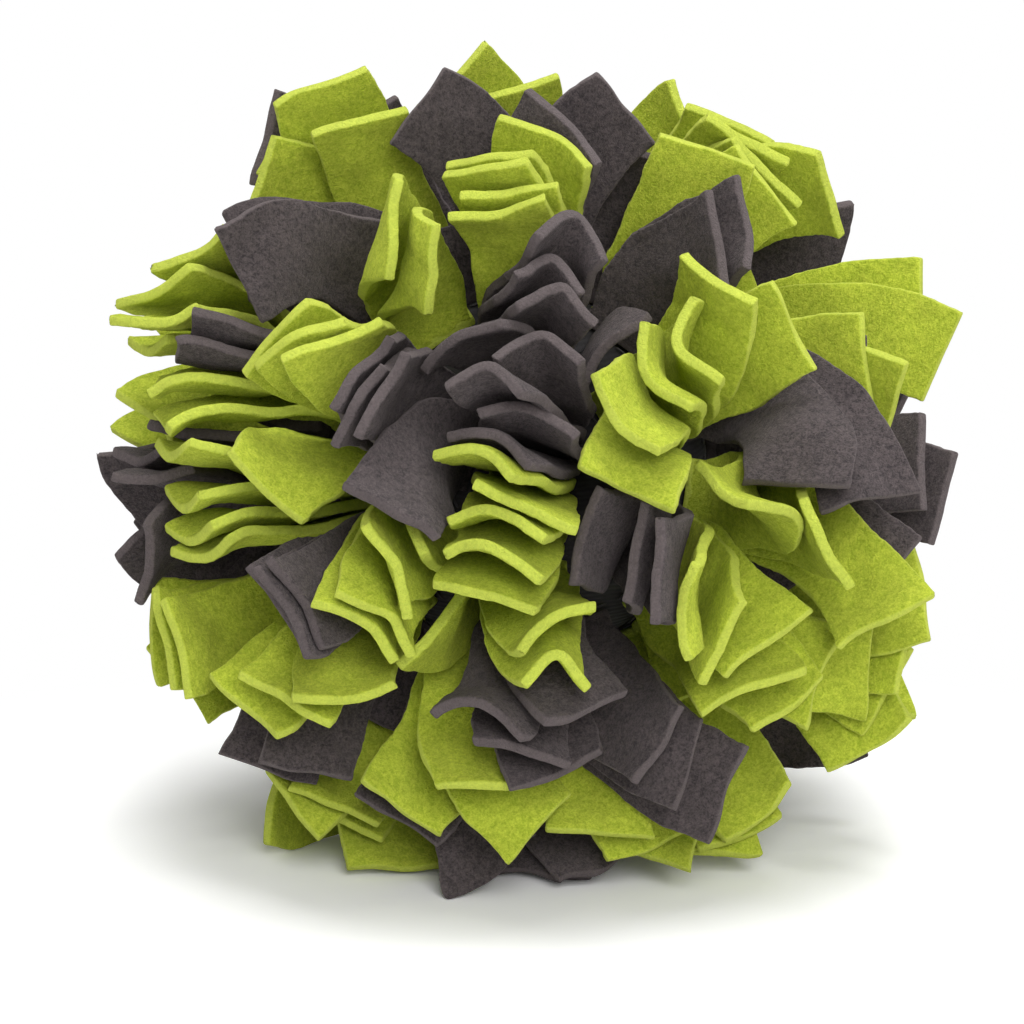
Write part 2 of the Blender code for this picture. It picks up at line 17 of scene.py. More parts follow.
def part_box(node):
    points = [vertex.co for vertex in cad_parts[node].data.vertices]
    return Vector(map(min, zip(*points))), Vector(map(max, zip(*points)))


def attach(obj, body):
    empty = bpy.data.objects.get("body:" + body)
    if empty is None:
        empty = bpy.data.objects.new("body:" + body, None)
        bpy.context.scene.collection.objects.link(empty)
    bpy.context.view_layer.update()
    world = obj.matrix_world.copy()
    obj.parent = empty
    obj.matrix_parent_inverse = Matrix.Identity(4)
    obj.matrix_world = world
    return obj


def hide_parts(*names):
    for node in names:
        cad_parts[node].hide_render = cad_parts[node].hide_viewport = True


bl_info = {
    "name": "Fleece snuffle ball",
    "version": (1, 0, 0),
    "blender": (4, 5, 0),
    "location": "View3D > Sidebar > Snuffle ball",
    "description": "Dresses the packed solids of a snuffle ball in fleece, and lights it on a pale floor",
    "category": "Object",
}

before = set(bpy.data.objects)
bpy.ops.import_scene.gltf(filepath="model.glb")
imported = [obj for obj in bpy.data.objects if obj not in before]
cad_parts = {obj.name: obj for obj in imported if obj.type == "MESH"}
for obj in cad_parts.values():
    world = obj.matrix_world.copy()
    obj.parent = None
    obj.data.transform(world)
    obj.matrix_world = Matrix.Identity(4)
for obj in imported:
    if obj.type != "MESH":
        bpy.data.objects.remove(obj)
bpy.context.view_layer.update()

METRES = 0.001

# The ball across its strip ends. The tables below give places in hundredths of its radius.
BALL_RADIUS = 100.0

# The core
CORE_RADIUS = 45.0
COVER_THICKNESS = 2.0
SEAT_GAP = 0.3
STUFFING_RADIUS = CORE_RADIUS - COVER_THICKNESS - 0.6

# The fleece strips
FLEECE_THICKNESS = 2.6
STRIP_WIDTH = 24.0
TAIL_LENGTH = 50.0
GATHERED_WIDTH = CORE_RADIUS * 0.38
GATHER = min(1.0, GATHERED_WIDTH / STRIP_WIDTH)
GATHERED_LENGTH = 14.0
FOLD_HEIGHT = 3.0
TAIL_GAP = 0.4
TAIL_PITCH = FLEECE_THICKNESS + TAIL_GAP
TAIL_START = 1.2
CLEARANCE = 0.3
# Stitches long enough for a swinging fold to tilt without touching the cover
SWING_LIFT = 0.5

# How the ball stands
LEAN_BACK = 12.0
CENTRE_HEIGHT = BALL_RADIUS * 0.935
FLOOR_PRESS = 0.5
# How far a strip under the ball may reach to the floor, in hundredths of the ball's radius
FOOT_REACH = 104

# Facets of a tail
MOST_STEPS = 4
SCATTER_SEED = 7
TURN_PER_STEP = math.radians(25)

# The places round the core, as rings of places at a polar angle from the front of the ball
INNER, EDGE, BACK_INNER = 38.0, 90.0, 149.0
MIDDLE = INNER + (EDGE - INNER) * 0.48
BACK_OUTER = EDGE + (BACK_INNER - EDGE) * 0.49

FOLD_RADIUS = CORE_RADIUS + SEAT_GAP
FOLD_TOP = FOLD_RADIUS + FOLD_HEIGHT
VIEWER = Vector((0, -1, 0))

# How far each tail is bent towards its place in the photo, tried from the first of these to the last
EASES = (1.0, 0.85, 0.7, 0.5, 0.3, 0.15)
PASSES = 3
SWING_DEGREES = 8.0
# A tail as its place says: not moved right, up or outwards, and with all of its twist
PLAIN = (0.0, 0.0, 0.0, 1.0)

# The single strips in the gaps: the grid in degrees on which a gap is looked for, the angle in radians that one keeps
# from the next root, how it may be turned, how far it may reach, longest first, and how far it may lean
GAP_GRID = 3
GAP_ROOM = 0.06
GAP_TURNS = (0, 90, 30, 60, 120, 150)
GAP_REACHES = range(97, 57, -2)
GAP_LEAN = 0.5

# The fine shape of the fleece: the width of the rounded rim of a cut and of a fold's rim (a share of the fold), the
# fibres' lumps on a face, how soft the crease of a cupped tail is, and how much the cut end may slant
RIM = 0.55
FOLD_RIM = 0.09
PILE_LUMP = 0.07
CUP_CREASE = 0.45
END_SLANT = 0.9
# How the scissors stray: the lengths of the long and short waves of the two sides, and the size of single snips
SCISSOR_WAVES = ((5.1, 2.3), (4.7, 2.1))
SNIP = 0.35
# Strips that lie one above another sag a little across their width, so no light comes through between them
STACK_CUP = 2.2
# The fleece drifts more from where it is sewn down over this length, and less within this angle of a loose tuft
DRIFT_LENGTH = 26
CREASE_SHARE = 0.22
CALM_ANGLE = 0.45
CALM_SHARE = 0.8
# Below this height in metres a strip is flattened on the floor
FLOOR_ZONE = 0.0012

# The cover: how far the stuffing may push it out between its stitches, the angle round a tuft in which it is held,
# and the cloth's pressure, mass of a point and number of frames
MOST_SWELL = 0.6
HELD_ANGLE = 0.12
STUFFING_PRESSURE = 12
COVER_POINT_MASS = 0.0004
SWELL_FRAMES = 20
# How deep the cover is pulled in, how far that reaches round a tuft, as an angle, and beside the seam
DIP_DEPTH = 0.5
DIP_ANGLE = 0.13
SEAM_WIDTH = 1.2
THREAD_THICKNESS = 0.6

# The picture
PHOTO_PIXELS = 1024
PIXELS_PER_MM = 4.2
PHOTO_SHIFT = (-15, -49)
SENSOR = 36

BODY_OF_PLACE = {"edge_top": "top_strips", "edge_right": "right_strips", "edge_3_oclock": "side_strips"}

# Where the middle of the core stands on the floor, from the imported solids
CORE_STAND = Vector([(a + b) / 2 for a, b in zip(*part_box("core_stuffing"))])


class Tail:
    """Where one tail's end lies: x and z seen from the front, and its distance from the middle of the core.

    These three and the cup are in hundredths of the ball's radius.

    edge is the angle at which the cut end runs, seen from the front, and lean turns that end towards the viewer.
    cup is how deep the tail is cupped across its width. behind puts the end on the far side of the ball.
    """

    def __init__(self, x, z, reach=92.0, edge=None, lean=0.0, cup=0.0, behind=False):
        share = BALL_RADIUS / 100
        self.x, self.z, self.reach, self.cup = x * share, z * share, reach * share, cup * share
        self.edge, self.lean, self.behind = edge, lean, behind

    def end(self):
        depth = math.sqrt(max(self.reach**2 - self.x**2 - self.z**2, 0.0))
        return Vector((self.x, depth if self.behind else -depth, self.z))


class Place:
    """A sewn place on the core: its clock angle and polar angle, and how its strips are turned about the radius."""

    def __init__(self, name, clock, polar, turn=0.0, lime=(), charcoal=(), swings=False):
        self.name, self.turn, self.swings = name, turn, swings
        around, down = math.radians(clock), math.radians(polar)
        self.out = Vector((math.sin(down) * math.cos(around), -math.cos(down), math.sin(down) * math.sin(around)))
        ring_way = Vector((-math.sin(around), 0, math.cos(around)))
        pole_way = Vector(
            (math.cos(down) * math.cos(around), math.sin(down), math.cos(down) * math.sin(around))
        )
        rolled = math.radians(turn)
        self.across = ring_way * math.cos(rolled) + pole_way * math.sin(rolled)
        self.behind = pole_way * math.cos(rolled) - ring_way * math.sin(rolled)
        groups = [(colour, sorted(tails, key=self.depth)) for colour, tails in
                  (("charcoal", charcoal), ("lime", lime)) if tails]
        self.groups = sorted(groups, key=lambda g: sum(map(self.depth, g[1])) / len(g[1]))

    def depth(self, tail):
        """How far behind a tail's end lies, so that tails which stand one behind another don't cross."""
        return tail.end().normalized().dot(self.behind)

    def slot_directions(self):
        """The outward direction of each tail's root, one behind another."""
        count = sum(len(tails) for _, tails in self.groups)
        shift = TAIL_PITCH / FOLD_RADIUS
        return [(self.out + self.behind * shift * (i - (count - 1) / 2)).normalized() for i in range(count)]


def front_places():
    """The strips that show from the front, each with the places of its tails' ends.

    A place's tails stand one behind another from the front of the ball outwards. Where it is turned by 90 degrees,
    they stand one above another and show their edges.
    """
    return [
        Place("edge_top", 90, EDGE, swings=True, lime=[Tail(-11, 95, 99, 40, 0, 2), Tail(-6, 89, 94, 30)]),
        Place("edge_right", 32, EDGE, swings=True, lime=[Tail(98, 38, 106, 90), Tail(101, 28, 106, 90)]),
        Place("edge_3_oclock", 0, EDGE, swings=True, charcoal=[Tail(95, -6, 98, 80), Tail(90, 3, 94, 80)]),
        Place("centre", 90, 0, 12,
              lime=[Tail(-11, -26, 89, -5, 0, -2), Tail(-4, -13, 93, -12, 0, -4), Tail(-3, -4, 91, -8, 0, -4),
                    Tail(-6, 5, 93, -18, 0, -3), Tail(8, 1, 92, -24)],
              charcoal=[Tail(-9, 14, 91, -20, 0, -3), Tail(6, 14, 90, -16, 0, -4), Tail(-9, 23, 93, -12, 0, -6),
                        Tail(3, 31, 91, -8, 0, -7)]),
        Place("inner_12_oclock", 90, INNER, 12,
              charcoal=[Tail(-16, 31, 86, 22, 0, -3), Tail(-3, 40, 93, -8, 0, -8), Tail(6, 49, 92, -12, 0, -7),
                        Tail(12, 57, 94, -12, 0, -8)],
              lime=[Tail(-9, 54, 92, 15, 30), Tail(-14, 60, 93, 25, 40), Tail(-20, 66, 94, 30, 50)]),
        Place("inner_2_oclock", 30, INNER, lime=[
            Tail(15, -5, 90, -50, 20, 2), Tail(14, 12, 94, -60, 20, 3), Tail(27, 22, 91, -65, 20, 5),
            Tail(34, 30, 92, -80, 20, 6), Tail(28, 43, 93, -45, 30, 3), Tail(62, 34, 93, -60)]),
        Place("inner_4_oclock", -30, INNER,
              charcoal=[Tail(11, -14, 83, 62, 0, 2), Tail(18, -17, 92, -66, 30), Tail(23, -20, 93, -60, 40)],
              lime=[Tail(32, -30, 92, 88, 0, 3), Tail(40, -40, 94, 70), Tail(52, -34, 93, 40)]),
        Place("inner_6_oclock", -90, INNER,
              lime=[Tail(5, -31, 91, 25, 0, 5), Tail(-6, -40, 92, 0, 0, 8)],
              charcoal=[Tail(-9, -46, 91, 0, 0, 8), Tail(14, -46, 92, -12), Tail(-2, -55, 92, -10, 0, 4),
                        Tail(15, -66, 94, 5)]),
        Place("inner_8_oclock", -150, INNER,
              lime=[Tail(-17, -8, 84, -60, 0, 2), Tail(-15, -21, 91, -80, 0, 3), Tail(-24, -28, 92, -50, 0, 4),
                    Tail(-22, -37, 92, -40, 0, 5)],
              charcoal=[Tail(-34, -12, 90, -60, 0, 3), Tail(-41, -21, 93, -58), Tail(-47, -30, 93, -55)]),
        Place("inner_10_oclock", 150, INNER,
              charcoal=[Tail(-19, 5, 87, 60, 10, -3), Tail(-28, -1, 89, 60, 10, -3), Tail(-27, 16, 91, 55, 10, -4)],
              lime=[Tail(-56, 16, 93, 35, 50), Tail(-51, 23, 94, 35, 55), Tail(-45, 30, 94, 40, 60)]),
        Place("middle_12_oclock", 90, MIDDLE,
              lime=[Tail(1, 71, 94, -8, 60, -4), Tail(-20, 68, 93, 40, 50)],
              charcoal=[Tail(8, 77, 96, -10, 60), Tail(-27, 88, 98, 20), Tail(24, 87, 98, -10)]),
        Place("middle_1_oclock", 57, MIDDLE,
              lime=[Tail(32, 79, 99, -15), Tail(60, 58, 95, -40)],
              charcoal=[Tail(48, 55, 91, -35, 50), Tail(54, 50, 92, -35, 50)]),
        Place("middle_2_oclock", 24.5, MIDDLE,
              charcoal=[Tail(62, -3, 93, 0), Tail(75, -7, 95, 0)],
              lime=[Tail(85, 3, 96, 80, 30), Tail(78, 27, 95, 70, 30)]),
        Place("middle_3_oclock", -8, MIDDLE,
              lime=[Tail(33, -5, 89, -20, 0, 3), Tail(38, -14, 91, -20, 0, 3), Tail(80, -33, 98, 42)],
              charcoal=[Tail(63, -46, 93, 20)]),
        Place("middle_4_oclock", -41, MIDDLE, lime=[
            Tail(52, -50, 92, 20), Tail(63, -57, 94, 20), Tail(70, -50, 95, 25), Tail(82, -48, 98, 60, 40)]),
        Place("middle_5_oclock", -73.6, MIDDLE,
              charcoal=[Tail(31, -63, 92), Tail(38, -68, 94), Tail(45, -73, 96)],
              lime=[Tail(19, -84, 96, 0), Tail(29, -90, 99, 5)]),
        Place("middle_7_oclock", -106.4, MIDDLE,
              lime=[Tail(-5, -71, 93, 0), Tail(-2, -85, 96, 0), Tail(-27, -80, 96, -45)],
              charcoal=[Tail(-36, -82, 95, -20), Tail(-8, -95, 99, 0)]),
        Place("middle_8_oclock", -139, MIDDLE,
              lime=[Tail(-46, -42, 93, 15), Tail(-57, -53, 95, 10), Tail(-67, -54, 97, 10)],
              charcoal=[Tail(-50, -70, 96, -45), Tail(-62, -72, 98, -40)]),
        Place("middle_9_oclock", -172, MIDDLE, 90, lime=[
            Tail(-78, -19, 92, 0, 70), Tail(-80, -11, 92, 0, 70), Tail(-82, -3, 92, 0, 70),
            Tail(-84, 5, 94, 0, 70)]),
        Place("middle_10_oclock", 155.5, MIDDLE, 90,
              lime=[Tail(-86, 10, 94, -8, 70), Tail(-90, 19, 97, 0, 70)],
              charcoal=[Tail(-84, 27, 95, 5, 70), Tail(-80, 33, 94, 10, 60)]),
        Place("middle_11_oclock", 122.7, MIDDLE,
              lime=[Tail(-21, 45, 92, 60, 55), Tail(-29, 52, 93, 60, 55)],
              charcoal=[Tail(-60, 54, 94, 85, 10, 6), Tail(-68, 47, 96, 85, 0)]),
        Place("edge_1_oclock", 60, EDGE, lime=[
            Tail(50, 76, 96, -20), Tail(48, 84, 99, -20), Tail(57, 72, 98, -35), Tail(72, 58, 97, -40)]),
        Place("edge_11_oclock", 120, EDGE, lime=[
            Tail(-48, 89, 104, 30), Tail(-60, 78, 101, 50), Tail(-66, 70, 99, 55), Tail(-40, 84, 98, 25)]),
        Place("edge_10_oclock", 150, EDGE, 90, lime=[
            Tail(-91, 20, 97, 0, 60), Tail(-84, 34, 96, 10, 60), Tail(-86, 41, 99, 65, 10),
            Tail(-75, 45, 95, 65, 30)]),
        Place("edge_9_oclock", 180, EDGE, 90, charcoal=[
            Tail(-88, -21, 96, 80, 10), Tail(-84, -6, 92, 0, 60), Tail(-86, 2, 92, 0, 70), Tail(-87, 11, 93, 0, 70)]),
        Place("edge_8_oclock", 210, EDGE, lime=[
            Tail(-84, -42, 100, -66), Tail(-91, -27, 100, -78), Tail(-82, -55, 101, -56), Tail(-96, -15, 100, -85)]),
        Place("edge_7_oclock", 240, EDGE, lime=[
            Tail(-45, -85, 99, -25), Tail(-52, -77, 97, -20), Tail(-58, -73, 97, -10), Tail(-21, -94, 99, -20)]),
        Place("edge_6_oclock", 270, EDGE, charcoal=[
            Tail(-4, -100, 102, 0), Tail(4, -100, 102, 0), Tail(18, -97, 101, 0), Tail(-16, -96, 99, 0)]),
        Place("edge_5_oclock", 300, EDGE, lime=[
            Tail(33, -88, 99, 5), Tail(56, -76, 98, -5), Tail(41, -90, 101, 3), Tail(50, -84, 101, 0)]),
        Place("edge_4_oclock", 330, EDGE, lime=[
            Tail(95, -29, 102, 75), Tail(91, -42, 102, 65), Tail(87, -53, 103, 55), Tail(79, -63, 102, 40)]),
    ]


def floor_reach(away):
    """How far the floor is from the middle of the core in a direction, or nothing where that points upwards."""
    fall = CENTRE_HEIGHT - to_world(away).z
    return CENTRE_HEIGHT / fall if fall > 0.5 else 0.0


def back_places():
    """The strips that the front hides, laid by a rule with a little scatter."""
    scatter = random.Random(SCATTER_SEED)
    places = []
    # The outer strips spread over the gap behind the edge. The innermost lean over the middle of the back, which has
    # no sewn place of its own.
    for ring, polar, count, first, tails_here, spread, shift in (
            ("back_outer", BACK_OUTER, 8, 25.0, 6, 0.2, -0.12),
            ("back_inner", BACK_INNER, 4, 55.0, 7, 0.13, 0.42)):
        for i in range(count):
            clock = first + 360.0 * i / count
            middle = Place("", clock, polar)
            tails = []
            for j in range(tails_here):
                away = middle.out + middle.behind * ((j - (tails_here - 1) / 2) * spread + shift)
                away += middle.across * scatter.uniform(-0.6, 0.6) + middle.behind * scatter.uniform(-0.1, 0.1)
                away.normalize()
                end = away * min(max(scatter.uniform(90, 99), 100 * floor_reach(away) / BALL_RADIUS), FOOT_REACH)
                cup = scatter.choice((0.0, 2.0, 2.0, 4.0))
                tails.append(Tail(end.x, end.z, end.length, behind=end.y > 0, cup=cup))
            colour = "lime" if (i + (ring == "back_inner")) % 2 else "charcoal"
            turn = scatter.choice((0, 20, -20)) if ring == "back_outer" else 0
            places.append(Place(f"{ring}_{i + 1}", clock, polar, turn, **{colour: tails}))
    return places


def smooth(t):
    t = min(max(t, 0.0), 1.0)
    return t * t * (3 - 2 * t)


class Route:
    """The middle line of a tail: an arc that leaves the core straight out and ends at a point."""

    def __init__(self, out, across, tail, ease, nudge, length):
        self.out, self.across = out, across
        self.start = out * (FOLD_RADIUS + TAIL_START)
        right, up, outward, kept = nudge
        share = BALL_RADIUS / 100
        wanted = tail.end() + Vector((right, 0, up)) * share
        wanted = wanted.normalized() * (tail.reach + outward * share) - self.start
        aim = out.slerp(wanted.normalized(), ease)
        reach = (TAIL_LENGTH * (1 - ease) + wanted.length * ease) * length
        self.bend = max(out.angle(aim), 1e-4)
        side = aim - out * aim.dot(out)
        self.side = side.normalized() if side.length > 1e-6 else across
        self.radius = reach / (2 * math.sin(self.bend))
        self.length = 2 * self.bend * self.radius
        self.cup = tail.cup * ease
        along = self.along(1.0)
        carried = self.carried(1.0)
        if tail.edge is None:
            edge = VIEWER.cross(along)
        else:
            turned, leaned = math.radians(tail.edge), math.radians(tail.lean)
            edge = Vector(
                (math.cos(turned) * math.cos(leaned), -math.sin(leaned), math.sin(turned) * math.cos(leaned))
            )
        edge -= along * edge.dot(along)
        if edge.length < 0.2:
            edge = carried
        edge.normalize()
        twist = math.atan2(along.dot(carried.cross(edge)), carried.dot(edge))
        if abs(twist) > math.pi / 2:
            twist -= math.copysign(math.pi, twist)
        self.twist = twist * ease * kept
        turned = max(2 * self.bend, abs(self.twist))
        self.steps = min(MOST_STEPS, 2 + int(turned / TURN_PER_STEP))

    def along(self, t):
        turned = 2 * self.bend * t
        return self.out * math.cos(turned) + self.side * math.sin(turned)

    def point(self, t):
        turned = 2 * self.bend * t
        return self.start + (self.out * math.sin(turned) + self.side * (1 - math.cos(turned))) * self.radius

    def carried(self, t):
        """The width's direction, carried along the arc with no twist of its own."""
        hinge = self.out.cross(self.side)
        return Matrix.Rotation(2 * self.bend * t, 3, hinge) @ self.across

    def frame(self, t):
        along, carried = self.along(t), self.carried(t)
        twisted = self.twist * smooth(t)
        across = carried * math.cos(twisted) + along.cross(carried) * math.sin(twisted)
        return self.point(t), across, along.cross(across)


def plate(rows, wide):
    """Triangles of a closed plate from points in two layers, each of so many rows of so many points."""
    under = rows * wide
    triangles = []

    def side(a, b, c, d):
        triangles.extend(((a, b, c), (a, c, d)))

    for i in range(rows - 1):
        for j in range(wide - 1):
            a, b = i * wide + j, (i + 1) * wide + j
            side(a, a + 1, b + 1, b)
            side(under + a, under + b, under + b + 1, under + a + 1)
        a, b = i * wide, (i + 1) * wide
        side(a, b, under + b, under + a)
        a, b = b - 1, b + wide - 1
        side(b, a, under + a, under + b)
    for j in range(wide - 1):
        a, b = j, (rows - 1) * wide + j
        side(a + 1, a, under + a, under + a + 1)
        side(b, b + 1, under + b + 1, under + b)
    return triangles


def tail_mesh(route, more=0.0):
    """The points and triangles of a tail as a closed sheet, grown by more on every side."""
    top, bottom = [], []
    shares = (-1, 0, 1) if route.cup else (-1, 1)
    for i in range(route.steps + 1):
        t = i / route.steps
        middle, across, normal = route.frame(t)
        if i == route.steps:
            middle = middle + route.along(1.0) * more
        gathered = GATHER + (1 - GATHER) * smooth(t * route.length / GATHERED_LENGTH)
        half = STRIP_WIDTH / 2 * gathered
        tilt = math.asin(max(-0.8, min(0.8, route.cup * smooth(t) / half)))
        for share in shares:
            centre = middle + across * share * (half * math.cos(tilt) + more)
            centre = centre - normal * abs(share) * half * math.sin(tilt)
            face = normal if share == 0 else normal * math.cos(tilt) + across * share * math.sin(tilt)
            thick = (FLEECE_THICKNESS / 2 + more) / (math.cos(tilt) if share == 0 else 1.0)
            top.append(centre + face * thick)
            bottom.append(centre - face * thick)
    return top + bottom, plate(route.steps + 1, len(shares))


def fold_mesh(place, first, count):
    """The sewn fold of some of a place's tails: a patch that follows the core."""
    slots = place.slot_directions()[first : first + count]
    half_depth = (FLEECE_THICKNESS / 2) / FOLD_RADIUS
    half_width = (STRIP_WIDTH * GATHER / 2 + 0.4) / FOLD_RADIUS
    lows = slots[0] - place.behind * half_depth
    highs = slots[-1] + place.behind * half_depth
    across_steps, behind_steps = 3, 1 + (count > 2) + (count > 6)
    points = []
    for radius in (FOLD_TOP, FOLD_RADIUS + (SWING_LIFT if place.swings else 0.0)):
        for i in range(behind_steps + 1):
            row = lows.lerp(highs, i / behind_steps)
            for j in range(across_steps + 1):
                aim = row + place.across * half_width * (2 * j / across_steps - 1)
                points.append(aim.normalized() * radius)
    return points, plate(behind_steps + 1, across_steps + 1)


def to_world(point):
    """From the ball's own frame to the frame of the floor, in millimetres."""
    return Matrix.Rotation(math.radians(-LEAN_BACK), 3, "X") @ point + Vector((0, 0, CENTRE_HEIGHT))


def nudges():
    """Small changes to try where a tail's place is taken: right, up, outwards, and the share of its twist kept.

    The first three are in hundredths of the ball's radius, as a tail's place is.
    """
    for kept in (1.0, 0.5):
        for outward in (0, 5, -6, -12):
            yield 0.0, 0.0, outward, kept
    for away in (6.0, 12.0):
        for eighth in range(8):
            angle = math.tau * eighth / 8
            for outward in (0, -8):
                yield away * math.cos(angle), away * math.sin(angle), outward, 1.0


class Sheet:
    """A closed mesh to keep clear of, with a ball round it for a quick first test."""

    def __init__(self, points, faces):
        self.middle = sum(points, Vector()) / len(points)
        self.size = max((p - self.middle).length for p in points)
        self.tree = BVHTree.FromPolygons(points, faces)

    def meets(self, other):
        if (self.middle - other.middle).length > self.size + other.size:
            return False
        return bool(self.tree.overlap(other.tree))


class Piece:
    """One tail while it is being laid: its root, the shape it should have and the shape it has so far."""

    def __init__(self, place, slot, tail, group=0):
        self.place, self.out, self.tail, self.group = place, slot, tail, group
        self.ease = 0.0
        self.route = self.above_floor(0.0, PLAIN)
        self.shapes = self.swept(self.route, 0.0)

    def above_floor(self, ease, nudge):
        """The route at this ease, shortened until its end rests on the floor."""
        length = 1.0
        while length > 0.6:
            route = Route(self.out, self.place.across, self.tail, ease, nudge, length)
            points, _ = tail_mesh(route)
            if min(to_world(p).z for p in points) >= -FLOOR_PRESS:
                return route
            length -= 0.004
        return None

    def swept(self, route, more):
        """The tail's shape, and where its place swings on its stitches the shapes it swings through."""
        points, faces = tail_mesh(route, more)
        if not self.place.swings:
            return [Sheet(points, faces)]
        shapes = []
        pivot = self.place.out * FOLD_RADIUS
        for share in (-1, -0.5, 0, 0.5, 1):
            turn = Matrix.Rotation(math.radians(SWING_DEGREES) * share, 3, self.place.across)
            shapes.append(Sheet([pivot + turn @ (p - pivot) for p in points], faces))
        return shapes

    def fits(self, route, others, folds):
        points, faces = tail_mesh(route, CLEARANCE)
        if min(p.length for p in points) < FOLD_RADIUS + 0.5:
            return None
        grown = self.swept(route, CLEARANCE)
        still = [grown[len(grown) // 2]]
        for other in others:
            together = other.place is self.place
            mine = still if together else grown
            theirs = [other.shapes[len(other.shapes) // 2]] if together else other.shapes
            if any(a.meets(b) for a in mine for b in theirs):
                return None
        for place, fold in folds:
            if place is not self.place and any(a.meets(fold) for a in grown):
                return None
        return grown


def groups_of(places):
    """Each colour's tails at each place, with the place, the group's number and its first slot."""
    for place in places:
        first = 0
        for number, (colour, tails) in enumerate(place.groups):
            yield place, number, first, colour, tails
            first += len(tails)


def sewn_folds(places):
    return [(place, Sheet(*fold_mesh(place, first, len(tails)))) for place, _, first, _, tails in groups_of(places)]


def lay_tails(places):
    """Bend every tail as far towards its place as it goes while it stays clear of all the others.

    Each starts straight out from the core, where none meets another, so every step keeps the ball free of overlaps.
    """
    folds = sewn_folds(places)
    pieces = []
    for place, number, first, _, tails in groups_of(places):
        for slot, tail in zip(place.slot_directions()[first:], tails):
            pieces.append(Piece(place, slot, tail, number))
    for _ in range(PASSES):
        for piece in pieces:
            if piece.ease == EASES[0]:
                continue
            others = [p for p in pieces if p is not piece]
            for ease, nudge in [(e, n) for e in EASES for n in nudges()]:
                if ease <= piece.ease:
                    break
                route = piece.above_floor(ease, nudge)
                if route is None:
                    continue
                if piece.fits(route, others, folds):
                    piece.ease, piece.route = ease, route
                    piece.shapes = piece.swept(route, 0.0)
                    break
    return pieces


def gap_strips(places, pieces):
    """Single strips sewn into the gaps between the tufts, so that the core hardly shows.

    Each stands out from the core, and is turned and shortened until it is clear of all its neighbours. Where none
    fits, the gap stays. Each belongs to the nearest tuft that doesn't swing.
    """
    scatter = random.Random(SCATTER_SEED)
    folds = sewn_folds(places)
    still = [p for p in pieces if not p.place.swings]
    spots = []
    for polar in range(2 * GAP_GRID, 175, GAP_GRID):
        around = max(1, round(360 * math.sin(math.radians(polar)) / GAP_GRID))
        for i in range(around):
            clock = 360 * (i + 0.5) / around
            out = Place("gap", clock, polar).out
            room = min(out.angle(p.out) for p in pieces)
            if room > GAP_ROOM:
                spots.append((-room, clock, polar))
    laid, added = list(pieces), []
    for _, clock, polar in sorted(spots):
        if any(Place("gap", clock, polar).out.angle(p.out) < GAP_ROOM for p in added):
            continue
        best = None
        for turn in GAP_TURNS:
            place = Place("gap", clock, polar, turn, charcoal=[Tail(0, 0, 1)])
            pad = Sheet(*fold_mesh(place, 0, 1))
            if any(pad.meets(fold) for _, fold in folds) or any(pad.meets(s) for p in laid for s in p.shapes):
                continue
            for reach in GAP_REACHES:
                lean = place.across * scatter.uniform(-1, 1) + place.behind * scatter.uniform(-1, 1)
                end = (place.out + lean * GAP_LEAN).normalized() * reach
                tail = Tail(end.x, end.z, end.length, behind=end.y > 0, cup=scatter.choice((0, 2, 3)))
                piece = Piece(place, place.out, tail)
                route = piece.above_floor(1.0, PLAIN)
                if route and piece.fits(route, laid, folds) and (not best or route.length > best[0].length):
                    best = route, piece, pad
                    break
        if best:
            route, piece, pad = best
            piece.route, piece.shapes = route, piece.swept(route, 0.0)
            nearest = min(still, key=lambda p: p.out.angle(piece.out))
            piece.home = nearest.place, nearest.group
            laid.append(piece)
            added.append(piece)
            folds.append((piece.place, pad))
    return added


def linear(shade):
    """An sRGB hex colour as the linear colour that a shader takes."""
    parts = [int(shade[i : i + 2], 16) / 255 for i in (1, 3, 5)]
    return tuple(p / 12.92 if p <= 0.04045 else ((p + 0.055) / 1.055) ** 2.4 for p in parts)


def shade_setting(name, description, shade):
    return bpy.props.FloatVectorProperty(
        name=name, description=description, subtype="COLOR", size=3, min=0, max=1, default=linear(shade)
    )


def length_setting(name, description, length, least, most=10.0):
    return bpy.props.FloatProperty(
        name=name, description=description, default=length, min=least, max=most, unit="LENGTH"
    )


class SNUFFLE_PG_fleece(bpy.types.PropertyGroup):
    """Sizes and colours of the fleece strips."""

    # Each fleece has a lit colour and a shaded copy of it: the second is painted shade down between the pile's fibres
    lime: shade_setting("Lime", "Lime fleece where its pile stands up", "#C9D547")
    lime_low: shade_setting("Lime between the pile", "Lime fleece down between its fibres", "#97AC28")
    charcoal: shade_setting("Charcoal", "Charcoal fleece where its pile stands up", "#5E5555")
    charcoal_low: shade_setting("Charcoal between the pile", "Charcoal fleece down between its fibres", "#332E30")
    waviness: length_setting("Waviness", "How far a strip strays from a smooth curve", 0.0016, 0, 0.004)
    cut_wobble: length_setting("Scissor wobble", "How far a cut edge strays from straight", 0.0002, 0, 0.001)
    facet: length_setting("Facet", "Length of a facet along a strip", 0.00125, 0.0006, 0.004)


class SNUFFLE_PG_core(bpy.types.PropertyGroup):
    """Sizes and colours of the stuffed core."""

    # The cover is dark cloth, darkened further as painted shade, since it shows only deep between the strips
    cover: shade_setting("Cover cloth", "Colour of the cover's cloth", "#2C292B")
    stuffing: shade_setting("Stuffing", "Colour of the fibre stuffing", "#EFEDE6")
    thread: shade_setting("Thread", "Colour of the sewing thread", "#3A3638")
    stitches: bpy.props.IntProperty(name="Stitches", description="Stitches round the cover's seam", default=64, min=8)


